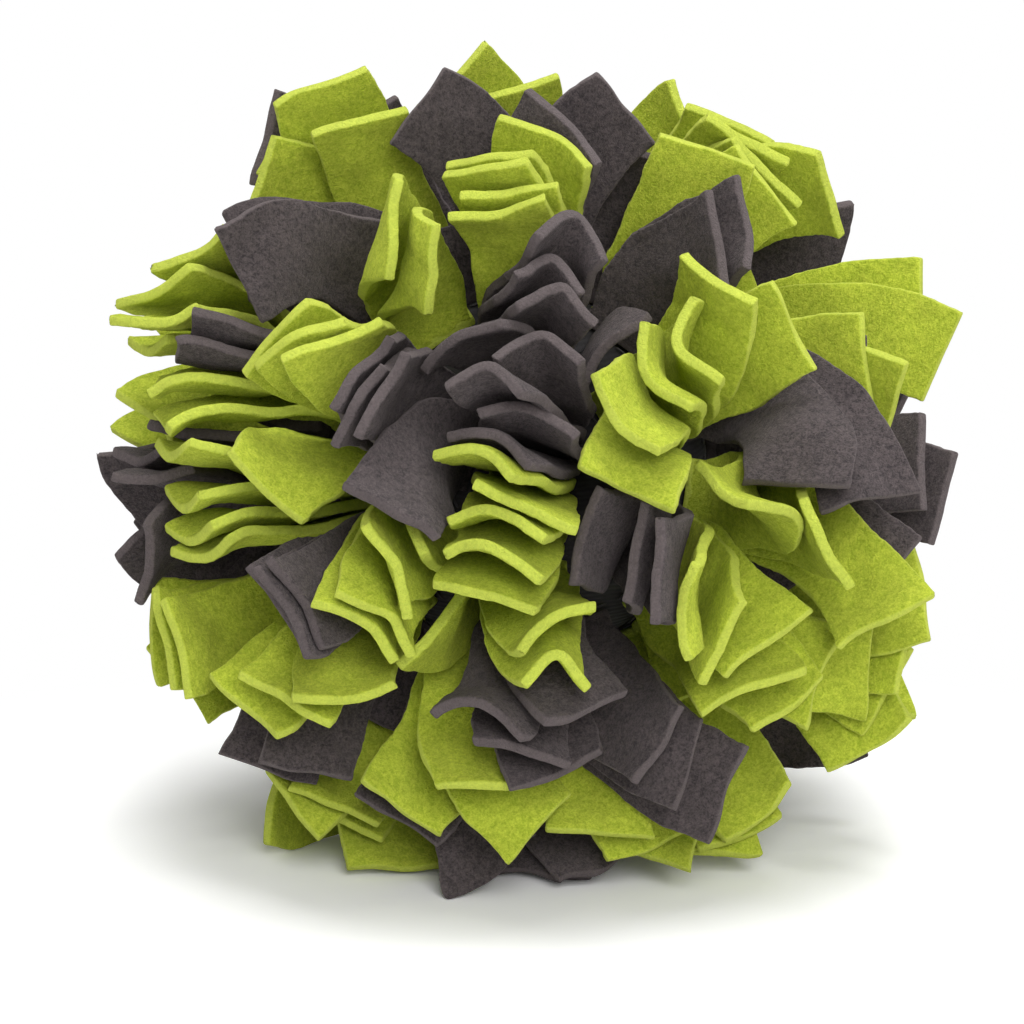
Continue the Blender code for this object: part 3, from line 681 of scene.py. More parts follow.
class SNUFFLE_PG_stage(bpy.types.PropertyGroup):
    """The floor, light and camera."""

    floor: shade_setting("Floor", "Colour of the floor and backdrop", "#FFFFFF")
    light: bpy.props.FloatProperty(name="Light", description="Strength of the soft studio light", default=1.0, min=0)
    distance: length_setting("Camera distance", "From the camera to the middle of the ball", 1.0, 0.4)
    rise: bpy.props.FloatProperty(
        name="Camera rise", description="Angle at which the camera looks down", default=math.radians(12),
        subtype="ANGLE")


def settings(part):
    return getattr(bpy.context.scene, "snuffle_" + part)


def put(name, data):
    """A new object in the scene."""
    made = bpy.data.objects.new(name, data)
    bpy.context.scene.collection.objects.link(made)
    return made


def add(tree, kind, into=None, **values):
    """Add a node, set its fields, and link or set the sockets named in into."""
    made = tree.nodes.new(kind)
    for field, value in values.items():
        setattr(made, field, value)
    for socket, value in (into or {}).items():
        if isinstance(value, bpy.types.NodeSocket):
            tree.links.new(value, made.inputs[socket])
        else:
            made.inputs[socket].default_value = value
    return made


def sums(tree, a, b, operation="ADD", **values):
    return add(tree, "ShaderNodeMath", {0: a, 1: b}, operation=operation, **values).outputs[0]


def spread(tree, value, low, high, to_low=0.0, to_high=1.0, **values):
    """The value's range from low to high, as one from to_low to to_high."""
    sockets = {0: value, 1: low, 2: high, 3: to_low, 4: to_high}
    return add(tree, "ShaderNodeMapRange", sockets, **values).outputs["Result"]


def blend(tree, share, first, second, **values):
    """A mix of two colours, each a socket or linear RGB."""
    ends = [c if isinstance(c, bpy.types.NodeSocket) else (*c, 1) for c in (first, second)]
    return add(tree, "ShaderNodeMix", {0: share, 6: ends[0], 7: ends[1]}, data_type="RGBA", **values).outputs[2]


def noise(tree, size, **values):
    """Noise whose features are about this many millimetres across, in the object's own space."""
    where = add(tree, "ShaderNodeTexCoord").outputs["Object"]
    return add(tree, "ShaderNodeTexNoise", {"Vector": where, "Scale": 1 / (size * METRES), **values}).outputs["Fac"]


def rows_of(tree, size, way, **values):
    """Bands this many millimetres apart across the object."""
    where = add(tree, "ShaderNodeTexCoord").outputs["Object"]
    sockets = {"Vector": where, "Scale": 0.314 / (size * METRES), **values}
    return add(tree, "ShaderNodeTexWave", sockets, bands_direction=way).outputs["Fac"]


def blank_material(name):
    made = bpy.data.materials.new(name)
    made.use_nodes = True
    made.node_tree.nodes.clear()
    return made, made.node_tree


def finish_material(tree, colour, height, strength, deep, **constants):
    """End a cloth material in a rough shader with sheen, whose constant sockets stay unlinked.

    The height stands this many millimetres deep in the bump.
    """
    bump = add(tree, "ShaderNodeBump", {"Strength": strength, "Distance": deep * METRES, "Height": height})
    shader = add(tree, "ShaderNodeBsdfPrincipled", {"Base Color": colour, "Normal": bump.outputs["Normal"]})
    for socket, value in constants.items():
        shader.inputs[socket.replace("_", " ")].default_value = value
    add(tree, "ShaderNodeOutputMaterial", {"Surface": shader.outputs["BSDF"]})


def fleece_material(name, high, low, rim, sheen):
    """Polyester anti-pill fleece: a matt knit with a short brushed pile, so the eye sees soft fine mottling.

    The pile lies in curls of 1.3 mm over single fibres of 0.5 mm, and painted shade darkens the fleece down between
    them. The brush leaves cloudy patches of 7 mm. A cut edge is painted lighter, a painted highlight where the fuzz of
    its fibres catches the light.
    """
    made, tree = blank_material(name)
    curls = noise(tree, 1.3, Detail=4, Roughness=0.7, Distortion=0.6)
    fibres = noise(tree, 0.5, Detail=3, Roughness=0.8)
    clouds = noise(tree, 7, Detail=3, Roughness=0.55)
    cut, strip = [add(tree, "ShaderNodeAttribute", attribute_name=n).outputs["Fac"] for n in ("cut", "strip")]
    pile = sums(tree, curls, fibres)
    # Painted shade: where the pile lies low the colour goes to the shaded copy
    base = blend(tree, spread(tree, pile, 0.8, 1.18), low, high)
    level = sums(tree, spread(tree, clouds, 0.3, 0.7, 0.88, 1.1), spread(tree, strip, 0, 1, 0.93, 1.06), "MULTIPLY")
    toned = blend(tree, 1.0, base, level, blend_type="MULTIPLY")
    # Painted highlight: near a cut edge the colour goes up to half way to a lighter rim colour, standing in for light
    # caught by the edge's fuzz
    colour = blend(tree, spread(tree, cut, 0.3, 0.9, 0, 0.5), toned, rim)
    finish_material(tree, colour, pile, 0.9, 0.7, Roughness=0.93, Specular_IOR_Level=0.22,
                    Sheen_Weight=sheen, Sheen_Roughness=0.5, Sheen_Tint=(*[min(1.0, c * 1.5 + 0.1) for c in high], 1))
    return made


def scaled(shade, share):
    return [min(c * share, 1) for c in shade]


def cloth_material(name, shade):
    """Polyester jersey: a smooth close knit, so the eye sees faint rows of loops 1.2 mm apart."""
    made, tree = blank_material(name)
    rows = rows_of(tree, 1.2, "Z", Distortion=1.5, Detail=2, **{"Detail Scale": 2})
    mixed = sums(tree, rows, noise(tree, 4, Detail=4), "MULTIPLY")
    colour = blend(tree, mixed, scaled(shade, 0.7), scaled(shade, 1.35))
    finish_material(tree, colour, mixed, 0.5, 0.3, Roughness=0.85, Sheen_Weight=0.2, Sheen_Roughness=0.4)
    return made


def stuffing_material(name, shade):
    """Polyester fibre fill: tangled white fibres, greyed by painted shade in hollows 3 mm across."""
    made, tree = blank_material(name)
    tangle = noise(tree, 3, Detail=6, Distortion=1.5)
    # Painted shade: a darker copy of the fill's colour where the tangle lies low
    colour = blend(tree, tangle, scaled(shade, 0.7), shade)
    finish_material(tree, colour, tangle, 0.8, 0.8, Roughness=0.95, Sheen_Weight=0.3)
    return made


def thread_material(name, shade):
    """Spun polyester thread: plies wound 0.4 mm apart, so the eye sees a faint slant along each stitch."""
    made, tree = blank_material(name)
    plies = rows_of(tree, 0.4, "DIAGONAL", Distortion=1)
    colour = blend(tree, plies, scaled(shade, 0.6), shade)
    finish_material(tree, colour, plies, 0.4, 0.1, Roughness=0.6, Sheen_Weight=0.1)
    return made


LEAN = np.array(Matrix.Rotation(math.radians(-LEAN_BACK), 3, "X"))


def to_floor(points):
    """Points of the ball's own frame, in millimetres, moved to where the ball stands, in metres."""
    return points @ LEAN.T * METRES + np.array(CORE_STAND)


def waves(seed, count, longest, shortest):
    """Directions, phases and shifts of a few long smooth waves through space."""
    scatter = random.Random(seed)
    rows = []
    for _ in range(count):
        way = Vector([scatter.gauss(0, 1) for _ in range(3)]).normalized()
        shift = Vector([scatter.gauss(0, 1) for _ in range(3)]).normalized()
        length = scatter.uniform(shortest, longest)
        rows.append((np.array(way) * math.tau / length, scatter.uniform(0, math.tau), np.array(shift)))
    return rows


def ripple(points, rows):
    """How far waves move points. Neighbouring strips move together, so that none crosses another."""
    moved = np.zeros_like(points)
    for way, phase, shift in rows:
        moved += np.sin(points @ way + phase)[:, None] * shift
    return moved / math.sqrt(len(rows) / 2)


def lump(points, rows):
    level = np.zeros(len(points))
    for way, phase, _ in rows:
        level += np.sin(points @ way + phase)
    return level / math.sqrt(len(rows) / 2)


LAID = {}
SWAY = waves(11, 10, 34, 20)
CREASES = waves(12, 10, 17, 10)
PILE_LUMPS = waves(13, 14, 5.0, 2.2)


def smooth_many(t):
    t = np.clip(t, 0, 1)
    return t * t * (3 - 2 * t)


def ladder(half, facet, rim):
    """Distances from an edge for the columns of a strip: close together where the edge is rounded."""
    close = [rim * share for share in (0.0, 0.03, 0.14, 0.4, 1.0)]
    count = max(2, round((half - close[-1]) / facet))
    return close + [close[-1] + (half - close[-1]) * (i + 1) / count for i in range(count)]


def closed_sheet(centre, near, thick, lumps):
    """Points and quads of a sheet round a grid of middle points. near is 1 at its edges, where both faces meet.

    The cut is nearly square to the faces, with small round corners.
    """
    along = np.gradient(centre, axis=0)
    across = np.gradient(centre, axis=1)
    face = np.cross(along, across)
    face /= np.maximum(np.linalg.norm(face, axis=2, keepdims=True), 1e-9)
    round_over = np.cbrt(np.clip(1 - near**3, 0, 1))[..., None]
    reach = round_over * thick
    rows, wide = near.shape
    uneven = (lump(centre.reshape(-1, 3), PILE_LUMPS).reshape(rows, wide, 1) * lumps) * round_over
    top, under = centre + face * (reach + uneven), centre - face * (reach - uneven * 0.6)
    shared = np.zeros((rows, wide), bool)
    shared[[0, -1]] = True
    shared[:, [0, -1]] = True
    index = np.arange(rows * wide).reshape(rows, wide)
    below = index.copy()
    below[~shared] = rows * wide + np.arange((~shared).sum())
    points = np.vstack([top.reshape(-1, 3), under[~shared]])
    closeness = np.concatenate([near.ravel(), near[~shared]])
    upper = np.stack([index[:-1, :-1], index[1:, :-1], index[1:, 1:], index[:-1, 1:]], 2).reshape(-1, 4)
    lower = np.stack([below[:-1, :-1], below[:-1, 1:], below[1:, 1:], below[1:, :-1]], 2).reshape(-1, 4)
    return points, np.vstack([upper, lower]), closeness


def sway(points, fleece):
    """Move points as the fleece drifts: not at all at the sewn fold, most at the tips, and less by loose tufts."""
    away = np.linalg.norm(points, axis=-1)
    free = smooth_many((away - FOLD_TOP - 3) / DRIFT_LENGTH)[..., None]
    for place in [p for p in LAID["places"] if p.swings]:
        aside = np.arccos(np.clip(points @ np.array(place.out) / away, -1, 1))[..., None]
        free = free * (1 - CALM_SHARE * np.exp(-((aside / CALM_ANGLE) ** 2)))
    flat = points.reshape(-1, 3)
    drift = (ripple(flat, SWAY) + ripple(flat, CREASES) * CREASE_SHARE) * fleece.waviness / METRES
    return points + drift.reshape(points.shape) * free


def cut_grid(length, facet):
    """A grid over a tail: the share across, the distance along, and how near each point is to a cut edge.

    Its columns and rows are close together at the rim, whose corners are rounded.
    """
    half = STRIP_WIDTH / 2
    side, close = ladder(half, facet * 1.1, RIM), ladder(length / 2, facet, RIM)
    across = np.array([-1 + d / half for d in side] + [1 - d / half for d in side[-2::-1]])
    along = np.array(close + [length - d for d in close[-2::-1]])
    a, s = np.meshgrid(across, along)
    from_side, from_end = half * (1 - np.abs(a)), np.minimum(s, length - s)
    ks, ke = np.clip(1 - from_side / RIM, 0, 1), np.clip(1 - from_end / RIM, 0, 1)
    near, both = np.maximum(ks, ke), np.hypot(ks, ke)
    pull = np.where(both > 0, near / np.maximum(both, 1e-9), 1.0)
    a = np.sign(a) * np.where(ks > 0, 1 - RIM * (1 - ks * pull) / half, np.abs(a))
    moved_end = np.where(ke > 0, RIM * (1 - ke * pull), from_end)
    return a, np.where(s > length / 2, length - moved_end, moved_end), near


def scissored(a, s, length, wobble, scatter):
    """The distance along and the half width of each point, where scissors strayed along both sides and the end."""
    phases = [scatter.uniform(0, math.tau) for _ in range(4)]
    left, right = [np.sin(s / long + first) + 0.6 * np.sin(s / short + second)
                   for (long, short), first, second in zip(SCISSOR_WAVES, phases[::2], phases[1::2])]
    skew = scatter.uniform(-END_SLANT, END_SLANT)
    s = s - smooth_many(s / length * 2 - 1) * (abs(skew) + skew * a)
    gathered = GATHER + (1 - GATHER) * smooth_many(s / GATHERED_LENGTH)
    snips = np.array([scatter.gauss(0, SNIP) for _ in range(2 * len(s))]).reshape(-1, 2)
    stray = np.where(a < 0, left, right) + np.where(a < 0, snips[:, :1], snips[:, 1:])
    return s, STRIP_WIDTH / 2 * gathered + wobble * stray * np.abs(a) * smooth_many(s / 10)


def fine_tail(route, number, fleece, cup=0.0):
    """A tail cut from fleece, on the arc, twist and cup of its solid: points, faces, and nearness to a cut edge.

    cup is for a tail that has none of its own.
    """
    a, s, near = cut_grid(route.length, fleece.facet / METRES)
    s, width = scissored(a, s, route.length, fleece.cut_wobble / METRES, random.Random(number))
    t = s / route.length
    out, way, base = np.array(route.out), np.array(route.side), np.array(route.across)
    hinge = np.cross(out, way)
    cos, sin = np.cos(2 * route.bend * t)[..., None], np.sin(2 * route.bend * t)[..., None]
    forward = out * cos + way * sin
    middle = np.array(route.start) + (out * sin + way * (1 - cos)) * route.radius
    upright = hinge * hinge.dot(base)
    carried = (base - upright) * cos + np.cross(hinge, base) * sin + upright
    turned = (route.twist * smooth_many(t))[..., None]
    sideways = carried * np.cos(turned) + np.cross(forward, carried) * np.sin(turned)
    normal = np.cross(forward, sideways)
    tilt = np.arcsin(np.clip((route.cup or cup) * smooth_many(t) / (STRIP_WIDTH / 2), -0.8, 0.8))
    crown = (np.sqrt(a**2 + CUP_CREASE**2) - CUP_CREASE) / (math.sqrt(1 + CUP_CREASE**2) - CUP_CREASE)
    centre = middle + sideways * (width * np.cos(tilt) * a)[..., None]
    centre -= normal * (width * np.sin(tilt) * crown)[..., None]
    return closed_sheet(sway(centre, fleece), near, FLEECE_THICKNESS / 2, PILE_LUMP)


def fine_fold(place, first, count):
    """The sewn fold of some of a place's tails: a soft pad that follows the core."""
    slots = [np.array(d) for d in place.slot_directions()[first : first + count]]
    behind, across = np.array(place.behind), np.array(place.across)
    half_depth = FLEECE_THICKNESS / 2 / FOLD_RADIUS
    half_width = (STRIP_WIDTH * GATHER / 2 + 0.4) / FOLD_RADIUS
    low, high = slots[0] - behind * half_depth, slots[-1] + behind * half_depth
    steps = np.array([0, 0.1, 0.35, 1, 2]) * FOLD_RIM
    steps = np.concatenate([steps, np.linspace(0.26, 0.74, 7), 1 - steps[::-1]])
    u, v = np.meshgrid(steps, steps)
    ku, kv = [np.clip(1 - np.minimum(x, 1 - x) / FOLD_RIM, 0, 1) for x in (u, v)]
    near = np.maximum(ku, kv)
    aim = low + (high - low) * v[..., None] + across * ((2 * u - 1) * half_width)[..., None]
    aim /= np.linalg.norm(aim, axis=2, keepdims=True)
    lift = SWING_LIFT if place.swings else 0.0
    middle = FOLD_RADIUS + (FOLD_HEIGHT + lift) / 2
    return closed_sheet(aim * middle, near, (FOLD_HEIGHT - lift) / 2 - 0.05, 0.0)


def mesh_object(name, parts, material, strips=None):
    """One smooth mesh object from several closed shells of (points, quads, closeness to a cut)."""
    mesh = bpy.data.meshes.new(name)
    first, points, quads, near, owner = 0, [], [], [], []
    for i, (own, faces, closeness) in enumerate(parts):
        points.append(to_floor(own))
        quads.append(faces + first)
        near.append(closeness)
        owner.append(np.full(len(own), 0.5 if strips is None else strips[i]))
        first += len(own)
    points, quads = np.vstack(points), np.vstack(quads)
    height = points[:, 2]
    points[:, 2] = np.where(height < FLOOR_ZONE, np.maximum(height * 0.7 + FLOOR_ZONE * 0.3, 0), height)
    mesh.vertices.add(len(points))
    mesh.vertices.foreach_set("co", points.astype(np.float32).ravel())
    mesh.loops.add(quads.size)
    mesh.loops.foreach_set("vertex_index", quads.astype(np.int32).ravel())
    mesh.polygons.add(len(quads))
    mesh.polygons.foreach_set("loop_start", np.arange(0, quads.size, 4, dtype=np.int32))
    mesh.update(calc_edges=True)
    for label, values in (("cut", np.concatenate(near)), ("strip", np.concatenate(owner))):
        mesh.attributes.new(label, "FLOAT", "POINT").data.foreach_set("value", values.astype(np.float32))
    mesh.polygons.foreach_set("use_smooth", np.ones(len(quads), bool))
    mesh.materials.append(material)
    return put(name, mesh)


def laid_tails():
    """The places, their laid tails and the strips in the gaps. They are laid once and kept."""
    if not LAID:
        LAID["places"] = front_places() + back_places()
        LAID["pieces"] = lay_tails(LAID["places"])
        LAID["gaps"] = gap_strips(LAID["places"], LAID["pieces"])
    return LAID["places"], LAID["pieces"], LAID["gaps"]


def finish_of(colour):
    """The material of the lime or the charcoal fleece, made once."""
    name = colour + "_polyester_fleece"
    if name not in bpy.data.materials:
        fleece = settings("fleece")
        # The second colour is the fleece's painted shade down between its pile
        high, low = tuple(getattr(fleece, colour)), tuple(getattr(fleece, colour + "_low"))
        # The rim colours are painted highlights on the cut edges of the fleece
        rim, sheen = {"lime": ("#D0DC61", 0.25), "charcoal": ("#6B6161", 0.35)}[colour]
        fleece_material(name, high, low, linear(rim), sheen)
    return bpy.data.materials[name]


def make_tufts(wanted):
    """Make the tufts whose places are wanted: one sheet of fleece strips for each, in place of its plain solid."""
    fleece = settings("fleece")
    places, pieces, gaps = laid_tails()
    for place, number, first, colour, tails in groups_of([p for p in places if wanted(p)]):
        mine = [p for p in pieces if p.place is place and p.group == number]
        between = [p for p in gaps if p.home == (place, number)]
        parts = [fine_fold(place, first, len(tails))] + [fine_fold(p.place, 0, 1) for p in between]
        mine += between
        seed = sum(map(ord, colour + place.name))
        cup = STACK_CUP if place.turn == 90 else 0.0
        parts += [fine_tail(piece.route, seed * 10 + i, fleece, cup) for i, piece in enumerate(mine)]
        scatter = random.Random(seed)
        tuft = mesh_object(f"{colour}_fleece_{place.name}", parts, finish_of(colour),
                           [0.5] * (1 + len(between)) + [scatter.random() for _ in mine])
        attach(tuft, BODY_OF_PLACE.get(place.name, "ball"))
        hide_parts(f"{colour}_tuft_{place.name}")


def round_form(name, radius, shape, material, steps=96):
    """A closed ball whose radius a function changes, with its poles in front and behind."""
    down = np.linspace(0, math.pi, steps // 2 + 1)[1:-1]
    turn = np.linspace(0, math.tau, steps, endpoint=False)
    t, d = np.meshgrid(turn, down)
    ways = np.stack([np.sin(d) * np.cos(t), -np.cos(d), np.sin(d) * np.sin(t)], 2).reshape(-1, 3)
    ways = np.vstack([ways, [[0, -1, 0], [0, 1, 0]]])
    points = to_floor(ways * (radius + shape(ways))[:, None])
    rows = len(down)
    faces = [(i * steps + j, i * steps + (j + 1) % steps, (i + 1) * steps + (j + 1) % steps, (i + 1) * steps + j)
             for i in range(rows - 1) for j in range(steps)]
    front, back = rows * steps, rows * steps + 1
    faces += [(front, (j + 1) % steps, j) for j in range(steps)]
    last = (rows - 1) * steps
    faces += [(back, last + j, last + (j + 1) % steps) for j in range(steps)]
    mesh = bpy.data.meshes.new(name)
    mesh.from_pydata(points.tolist(), [], faces)
    mesh.polygons.foreach_set("use_smooth", np.ones(len(faces), bool))
    mesh.materials.append(material)
    return put(name, mesh)


def baked(piece):
    """The piece's mesh with its modifiers applied."""
    bpy.context.view_layer.update()
    return bpy.data.meshes.new_from_object(piece.evaluated_get(bpy.context.evaluated_depsgraph_get()))


def positions(mesh):
    points = np.empty(len(mesh.vertices) * 3)
    mesh.vertices.foreach_get("co", points)
    return points.reshape(-1, 3)


def ways_out(points):
    """The directions of points from the middle of the core."""
    ways = points - np.array(CORE_STAND)
    return ways / np.linalg.norm(ways, axis=1, keepdims=True)


def swell(cover, sewn):
    """Push the cover out as its stuffing does, by a short cloth simulation that is held where tufts are sewn on."""
    start = positions(cover.data)
    ways = ways_out(start)
    nearest = np.arccos(np.clip(ways @ LEAN @ sewn.T, -1, 1)).min(axis=1)
    held = cover.vertex_groups.new(name="sewn")
    held.add([int(i) for i in np.flatnonzero(nearest < HELD_ANGLE)], 1.0, "REPLACE")
    cloth = cover.modifiers.new("stuffed", "CLOTH")
    cloth.settings.use_pressure = True
    cloth.settings.uniform_pressure_force = STUFFING_PRESSURE
    cloth.settings.mass = COVER_POINT_MASS
    cloth.settings.effector_weights.gravity = 0
    cloth.settings.vertex_group_mass = "sewn"
    scene = bpy.context.scene
    for number in range(1, SWELL_FRAMES + 1):
        scene.frame_set(number)
    shaped = cover.evaluated_get(bpy.context.evaluated_depsgraph_get())
    moved = positions(shaped.data) - start
    scene.frame_set(1)
    cover.modifiers.clear()
    far = np.linalg.norm(moved, axis=1, keepdims=True)
    print("cover swells by", round(float(far.max()) / METRES, 2), "mm before its cap")
    moved *= np.minimum(1, MOST_SWELL * METRES / np.maximum(far, 1e-9))
    cover.data.vertices.foreach_set("co", (start + moved).ravel())
    cover.data.update()


def quilt(cover, sewn):
    """Round the cover's facets, and pull it in where a tuft is sewn on and at its seam."""
    cover.modifiers.new("rounder", "SUBSURF")
    rounded = baked(cover)
    cover.modifiers.clear()
    cover.data = rounded
    points = positions(rounded)
    ways = ways_out(points)
    own = ways @ LEAN
    nearest = np.arccos(np.clip(own @ sewn.T, -1, 1)).min(axis=1)
    seam = np.exp(-((own[:, 1] * CORE_RADIUS / SEAM_WIDTH) ** 2))
    dips = np.exp(-((nearest / DIP_ANGLE) ** 2))
    points += ways * ((-DIP_DEPTH * dips - DIP_DEPTH * seam - 0.1) * METRES)[:, None]
    rounded.vertices.foreach_set("co", points.ravel())
    rounded.update()


class SNUFFLE_OT_core(bpy.types.Operator):
    """Make the stuffed core, with its cloth cover and sewn seam"""

    bl_idname = "snuffle.core"
    bl_label = "Stuffed core"

    def execute(self, context):
        core = settings("core")
        sewn = np.array([np.array(p.out) for p in laid_tails()[0]])
        filling = round_form("core_filling", STUFFING_RADIUS,
                             lambda ways: lump(ways * STUFFING_RADIUS, SWAY) * 0.25 - 0.5,
                             stuffing_material("polyester_fibre_fill", tuple(core.stuffing)), 64)
        # The cover's colour is partly the cloth's own and partly painted shade between the strips
        cover = round_form("core_cover", CORE_RADIUS - MOST_SWELL, lambda ways: np.zeros(len(ways)),
                           cloth_material("grey_polyester_jersey", tuple(core.cover)), 80)
        swell(cover, sewn)
        quilt(cover, sewn)
        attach(filling, "ball")
        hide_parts("core_stuffing")
        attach(cover, "ball")
        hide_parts("core_cover_front", "core_cover_back")
        return {"FINISHED"}


def stitch_tree(thread):
    """Stitches along the edges of a mesh: short rounded lengths of thread, one in each step."""
    tree = bpy.data.node_groups.new("hand_stitches", "GeometryNodeTree")
    sockets = {}
    for label, kind in (("Paths", "Geometry"), ("Stitch spacing", "Float"), ("Stitch length", "Float"),
                        ("Thread thickness", "Float")):
        sockets[label] = tree.interface.new_socket(label, in_out="INPUT", socket_type="NodeSocket" + kind).identifier
    tree.interface.new_socket("Stitches", in_out="OUTPUT", socket_type="NodeSocketGeometry")
    given = add(tree, "NodeGroupInput").outputs
    paths = add(tree, "GeometryNodeMeshToCurve", {"Mesh": given["Paths"]}).outputs["Curve"]
    spots = add(tree, "GeometryNodeCurveToPoints", {"Curve": paths, "Length": given["Stitch spacing"]}, mode="LENGTH")
    bead = add(tree, "GeometryNodeMeshUVSphere", {"Segments": 6, "Rings": 4, "Radius": 0.5}).outputs["Mesh"]
    size = add(tree, "ShaderNodeCombineXYZ", {"X": given["Thread thickness"], "Y": given["Thread thickness"],
                                             "Z": given["Stitch length"]}).outputs["Vector"]
    laid = add(tree, "GeometryNodeInstanceOnPoints", {
        "Points": spots.outputs["Points"], "Instance": bead, "Rotation": spots.outputs["Rotation"], "Scale": size})
    real = add(tree, "GeometryNodeRealizeInstances", {"Geometry": laid.outputs["Instances"]}).outputs["Geometry"]
    finished = add(tree, "GeometryNodeSetMaterial", {"Geometry": real, "Material": thread}).outputs["Geometry"]
    add(tree, "NodeGroupOutput", {"Stitches": finished})
    return tree, sockets


class SNUFFLE_OT_stitches(bpy.types.Operator):
    """Make the stitches along the cover's seam and beside every sewn fold that doesn't swing"""

    bl_idname = "snuffle.stitches"
    bl_label = "Stitches"

    def execute(self, context):
        core = settings("core")
        places, _, gaps = laid_tails()
        seam_radius = CORE_RADIUS - THREAD_THICKNESS / 2
        lines = [[Vector((math.cos(a), 0, math.sin(a))) * seam_radius for a in np.linspace(0, math.tau, 97)]]
        for place in [p for p in places if not p.swings] + [p.place for p in gaps]:
            slots = place.slot_directions()
            reach = (FLEECE_THICKNESS / 2 + 0.7) / FOLD_RADIUS
            half = (STRIP_WIDTH * GATHER / 2 - 0.5) / FOLD_RADIUS
            for edge in (slots[0] - place.behind * reach, slots[-1] + place.behind * reach):
                row = [(edge + place.across * half * i / 4).normalized() for i in range(-4, 5)]
                lines.append([p * CORE_RADIUS for p in row])
        mesh = bpy.data.meshes.new("stitch_paths")
        points = [p for line in lines for p in line]
        edges, first = [], 0
        for line in lines:
            edges += [(first + i, first + i + 1) for i in range(len(line) - 1)]
            first += len(line)
        mesh.from_pydata(to_floor(np.array([tuple(p) for p in points])).tolist(), edges, [])
        guide = put("stitch_guide", mesh)
        tree, sockets = stitch_tree(thread_material("spun_polyester_thread", tuple(core.thread)))
        maker = guide.modifiers.new("stitches", "NODES")
        maker.node_group = tree
        spacing = math.tau * seam_radius * METRES / core.stitches
        for label, value in (("Stitch spacing", spacing), ("Stitch length", spacing * 0.7),
                             ("Thread thickness", THREAD_THICKNESS * METRES)):
            maker[sockets[label]] = value
        made = baked(guide)
        bpy.data.objects.remove(guide)
        made.name = "sewing_thread"
        thread = put("sewing_thread", made)
        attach(thread, "ball")
        return {"FINISHED"}


class SNUFFLE_OT_front_tufts(bpy.types.Operator):
    """Make the fleece tufts of the front and the edge"""

    bl_idname = "snuffle.front_tufts"
    bl_label = "Front tufts"

    def execute(self, context):
        make_tufts(lambda place: not place.swings and not place.name.startswith("back"))
        return {"FINISHED"}


class SNUFFLE_OT_loose_tufts(bpy.types.Operator):
    """Make the three long tufts that stand free and swing on their stitches"""

    bl_idname = "snuffle.loose_tufts"
    bl_label = "Loose tufts"

    def execute(self, context):
        make_tufts(lambda place: place.swings)
        return {"FINISHED"}


class SNUFFLE_OT_back_tufts(bpy.types.Operator):
    """Make the fleece tufts of the back"""

    bl_idname = "snuffle.back_tufts"
    bl_label = "Back tufts"

    def execute(self, context):
        make_tufts(lambda place: place.name.startswith("back"))
        return {"FINISHED"}


def shown_or_lighting(tree, shown, lighting):
    """One shader where the camera sees the surface itself, in a mirror or through glass, and one that lights others."""
    ray = add(tree, "ShaderNodeLightPath").outputs
    mirrored = sums(tree, ray["Is Glossy Ray"], ray["Is Transmission Ray"])
    seen = sums(tree, ray["Is Camera Ray"], mirrored, use_clamp=True)
    return add(tree, "ShaderNodeMixShader", {0: seen, 1: lighting.outputs[0], 2: shown.outputs[0]}).outputs[0]


def floor_material(shade):
    """Matt paper sweep: plain white where it is seen, and grey only where the ball shades it."""
    made, tree = blank_material("matt_paper_sweep")
    lit, near = [add(tree, "ShaderNodeBsdfDiffuse", {"Color": (*[c * share for c in shade], 1)})
                 for share in (0.8, 1.15)]
    plain = add(tree, "ShaderNodeEmission", {"Color": (*shade, 1), "Strength": 1.0})
    where = add(tree, "ShaderNodeTexCoord").outputs["Object"]
    from_middle = add(tree, "ShaderNodeVectorMath", {0: where, 1: (0, 0.03, 0)}, operation="ADD").outputs["Vector"]
    oval = add(tree, "ShaderNodeVectorMath", {0: from_middle, 1: (0.8, 1, 1)}, operation="MULTIPLY").outputs["Vector"]
    away = add(tree, "ShaderNodeVectorMath", {0: oval}, operation="LENGTH").outputs["Value"]
    far = spread(tree, away, 0.10, 0.20, interpolation_type="SMOOTHSTEP")
    shown = add(tree, "ShaderNodeMixShader", {0: far, 1: near.outputs[0], 2: plain.outputs[0]})
    add(tree, "ShaderNodeOutputMaterial", {"Surface": shown_or_lighting(tree, shown, lit)})
    return made


def soft_lamp(name, place, size, power, aim):
    lamp = bpy.data.lights.new(name, "AREA")
    lamp.shape, lamp.size, lamp.energy = "SQUARE", size, power
    made = put(name, lamp)
    made.location = place
    made.rotation_euler = (Vector(aim) - Vector(place)).to_track_quat("-Z", "Y").to_euler()


def paper_sweep(shade):
    """A wide sheet of paper that lies on the floor and curves up behind the ball."""
    curve, bend_starts, half_width, height = 0.8, 1.2, 3.0, 3.0
    turns = [math.pi / 2 * i / 16 for i in range(17)]
    profile = [(-2.5, 0.0)] + [(bend_starts + curve * math.sin(a), curve - curve * math.cos(a)) for a in turns]
    points, faces = [], []
    for i, (y, z) in enumerate(profile + [(bend_starts + curve, height)]):
        points += [(-half_width, y, z), (half_width, y, z)]
        if i:
            faces.append((2 * i - 2, 2 * i - 1, 2 * i + 1, 2 * i))
    mesh = bpy.data.meshes.new("paper_sweep")
    mesh.from_pydata(points, [], faces)
    mesh.polygons.foreach_set("use_smooth", [True] * len(faces))
    mesh.materials.append(floor_material(shade))
    return put("paper_sweep", mesh)


def studio_world(light):
    world = bpy.data.worlds.new("studio")
    world.use_nodes = True
    tree = world.node_tree
    tree.nodes.clear()
    # Past the sides of the paper the camera sees plain white too
    glow, plain = [add(tree, "ShaderNodeBackground", {"Color": (1, 1, 1, 1), "Strength": strength})
                   for strength in (0.4 * light, 1.0)]
    add(tree, "ShaderNodeOutputWorld", {"Surface": shown_or_lighting(tree, plain, glow)})
    return world


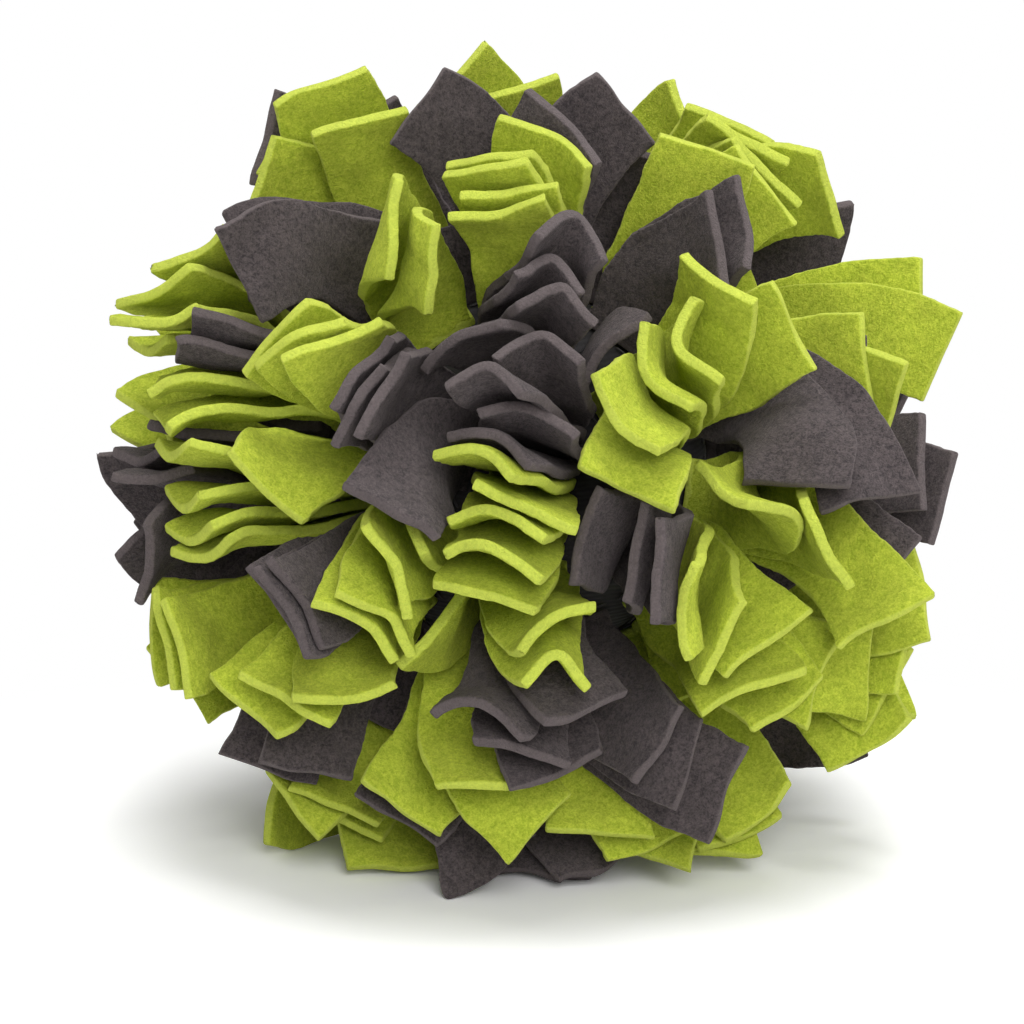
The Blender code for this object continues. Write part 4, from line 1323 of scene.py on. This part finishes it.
def photo_camera(distance, rise):
    """The camera, square to the ball's front but for its rise, so that the ball fills the frame as in the photo."""
    lens = bpy.data.cameras.new("camera")
    lens.sensor_width, lens.sensor_height, lens.sensor_fit = SENSOR, SENSOR, "AUTO"
    # The near half of the ball looks larger than its middle, so the lens is a little shorter
    lens.lens = SENSOR * distance / (PHOTO_PIXELS / PIXELS_PER_MM * METRES) * 0.965
    lens.shift_x, lens.shift_y = [shift / PHOTO_PIXELS for shift in PHOTO_SHIFT]
    camera = put("camera", lens)
    away = Vector((0, -math.cos(rise), math.sin(rise)))
    camera.location = Vector((0, 0, CORE_STAND.z + 0.002)) + away * distance
    camera.rotation_euler = (-away).to_track_quat("-Z", "Y").to_euler()
    return camera


class SNUFFLE_OT_stage(bpy.types.Operator):
    """Make the floor, the soft studio light and the camera"""

    bl_idname = "snuffle.stage"
    bl_label = "Floor, light and camera"

    def execute(self, context):
        stage = settings("stage")
        paper_sweep(tuple(stage.floor))
        soft_lamp("overhead_softbox", (0.1, -0.1, 1.5), 0.9, 19 * stage.light, (0, 0, 0.1))
        soft_lamp("front_softbox", (0.35, -1.7, 1.0), 0.9, 23 * stage.light, (0, 0, 0.1))
        context.scene.world = studio_world(stage.light)
        context.scene.camera = photo_camera(stage.distance, stage.rise)
        context.scene.view_settings.view_transform = "Standard"
        return {"FINISHED"}


OPERATORS = (SNUFFLE_OT_core, SNUFFLE_OT_stitches, SNUFFLE_OT_front_tufts, SNUFFLE_OT_loose_tufts,
             SNUFFLE_OT_back_tufts, SNUFFLE_OT_stage)


class SNUFFLE_PT_panel(bpy.types.Panel):
    """The makers of the snuffle ball and their settings"""

    bl_idname = "SNUFFLE_PT_panel"
    bl_label = "Snuffle ball"
    bl_space_type = "VIEW_3D"
    bl_region_type = "UI"
    bl_category = "Snuffle ball"

    def draw(self, context):
        for part in GROUPS:
            box = self.layout.box()
            for field in GROUPS[part].__annotations__:
                box.prop(settings(part), field)
        for maker in OPERATORS:
            self.layout.operator(maker.bl_idname)


GROUPS = {"fleece": SNUFFLE_PG_fleece, "core": SNUFFLE_PG_core, "stage": SNUFFLE_PG_stage}


def register():
    for kind in (*GROUPS.values(), *OPERATORS, SNUFFLE_PT_panel):
        bpy.utils.register_class(kind)
    for part, kind in GROUPS.items():
        setattr(bpy.types.Scene, "snuffle_" + part, bpy.props.PointerProperty(type=kind))


def unregister():
    for part in GROUPS:
        delattr(bpy.types.Scene, "snuffle_" + part)
    for kind in reversed((*GROUPS.values(), *OPERATORS, SNUFFLE_PT_panel)):
        bpy.utils.unregister_class(kind)


def main():
    register()
    bpy.ops.snuffle.stage()
    bpy.ops.snuffle.core()
    bpy.ops.snuffle.stitches()
    bpy.ops.snuffle.front_tufts()
    bpy.ops.snuffle.loose_tufts()
    bpy.ops.snuffle.back_tufts()


if __name__ == "__main__":
    main()
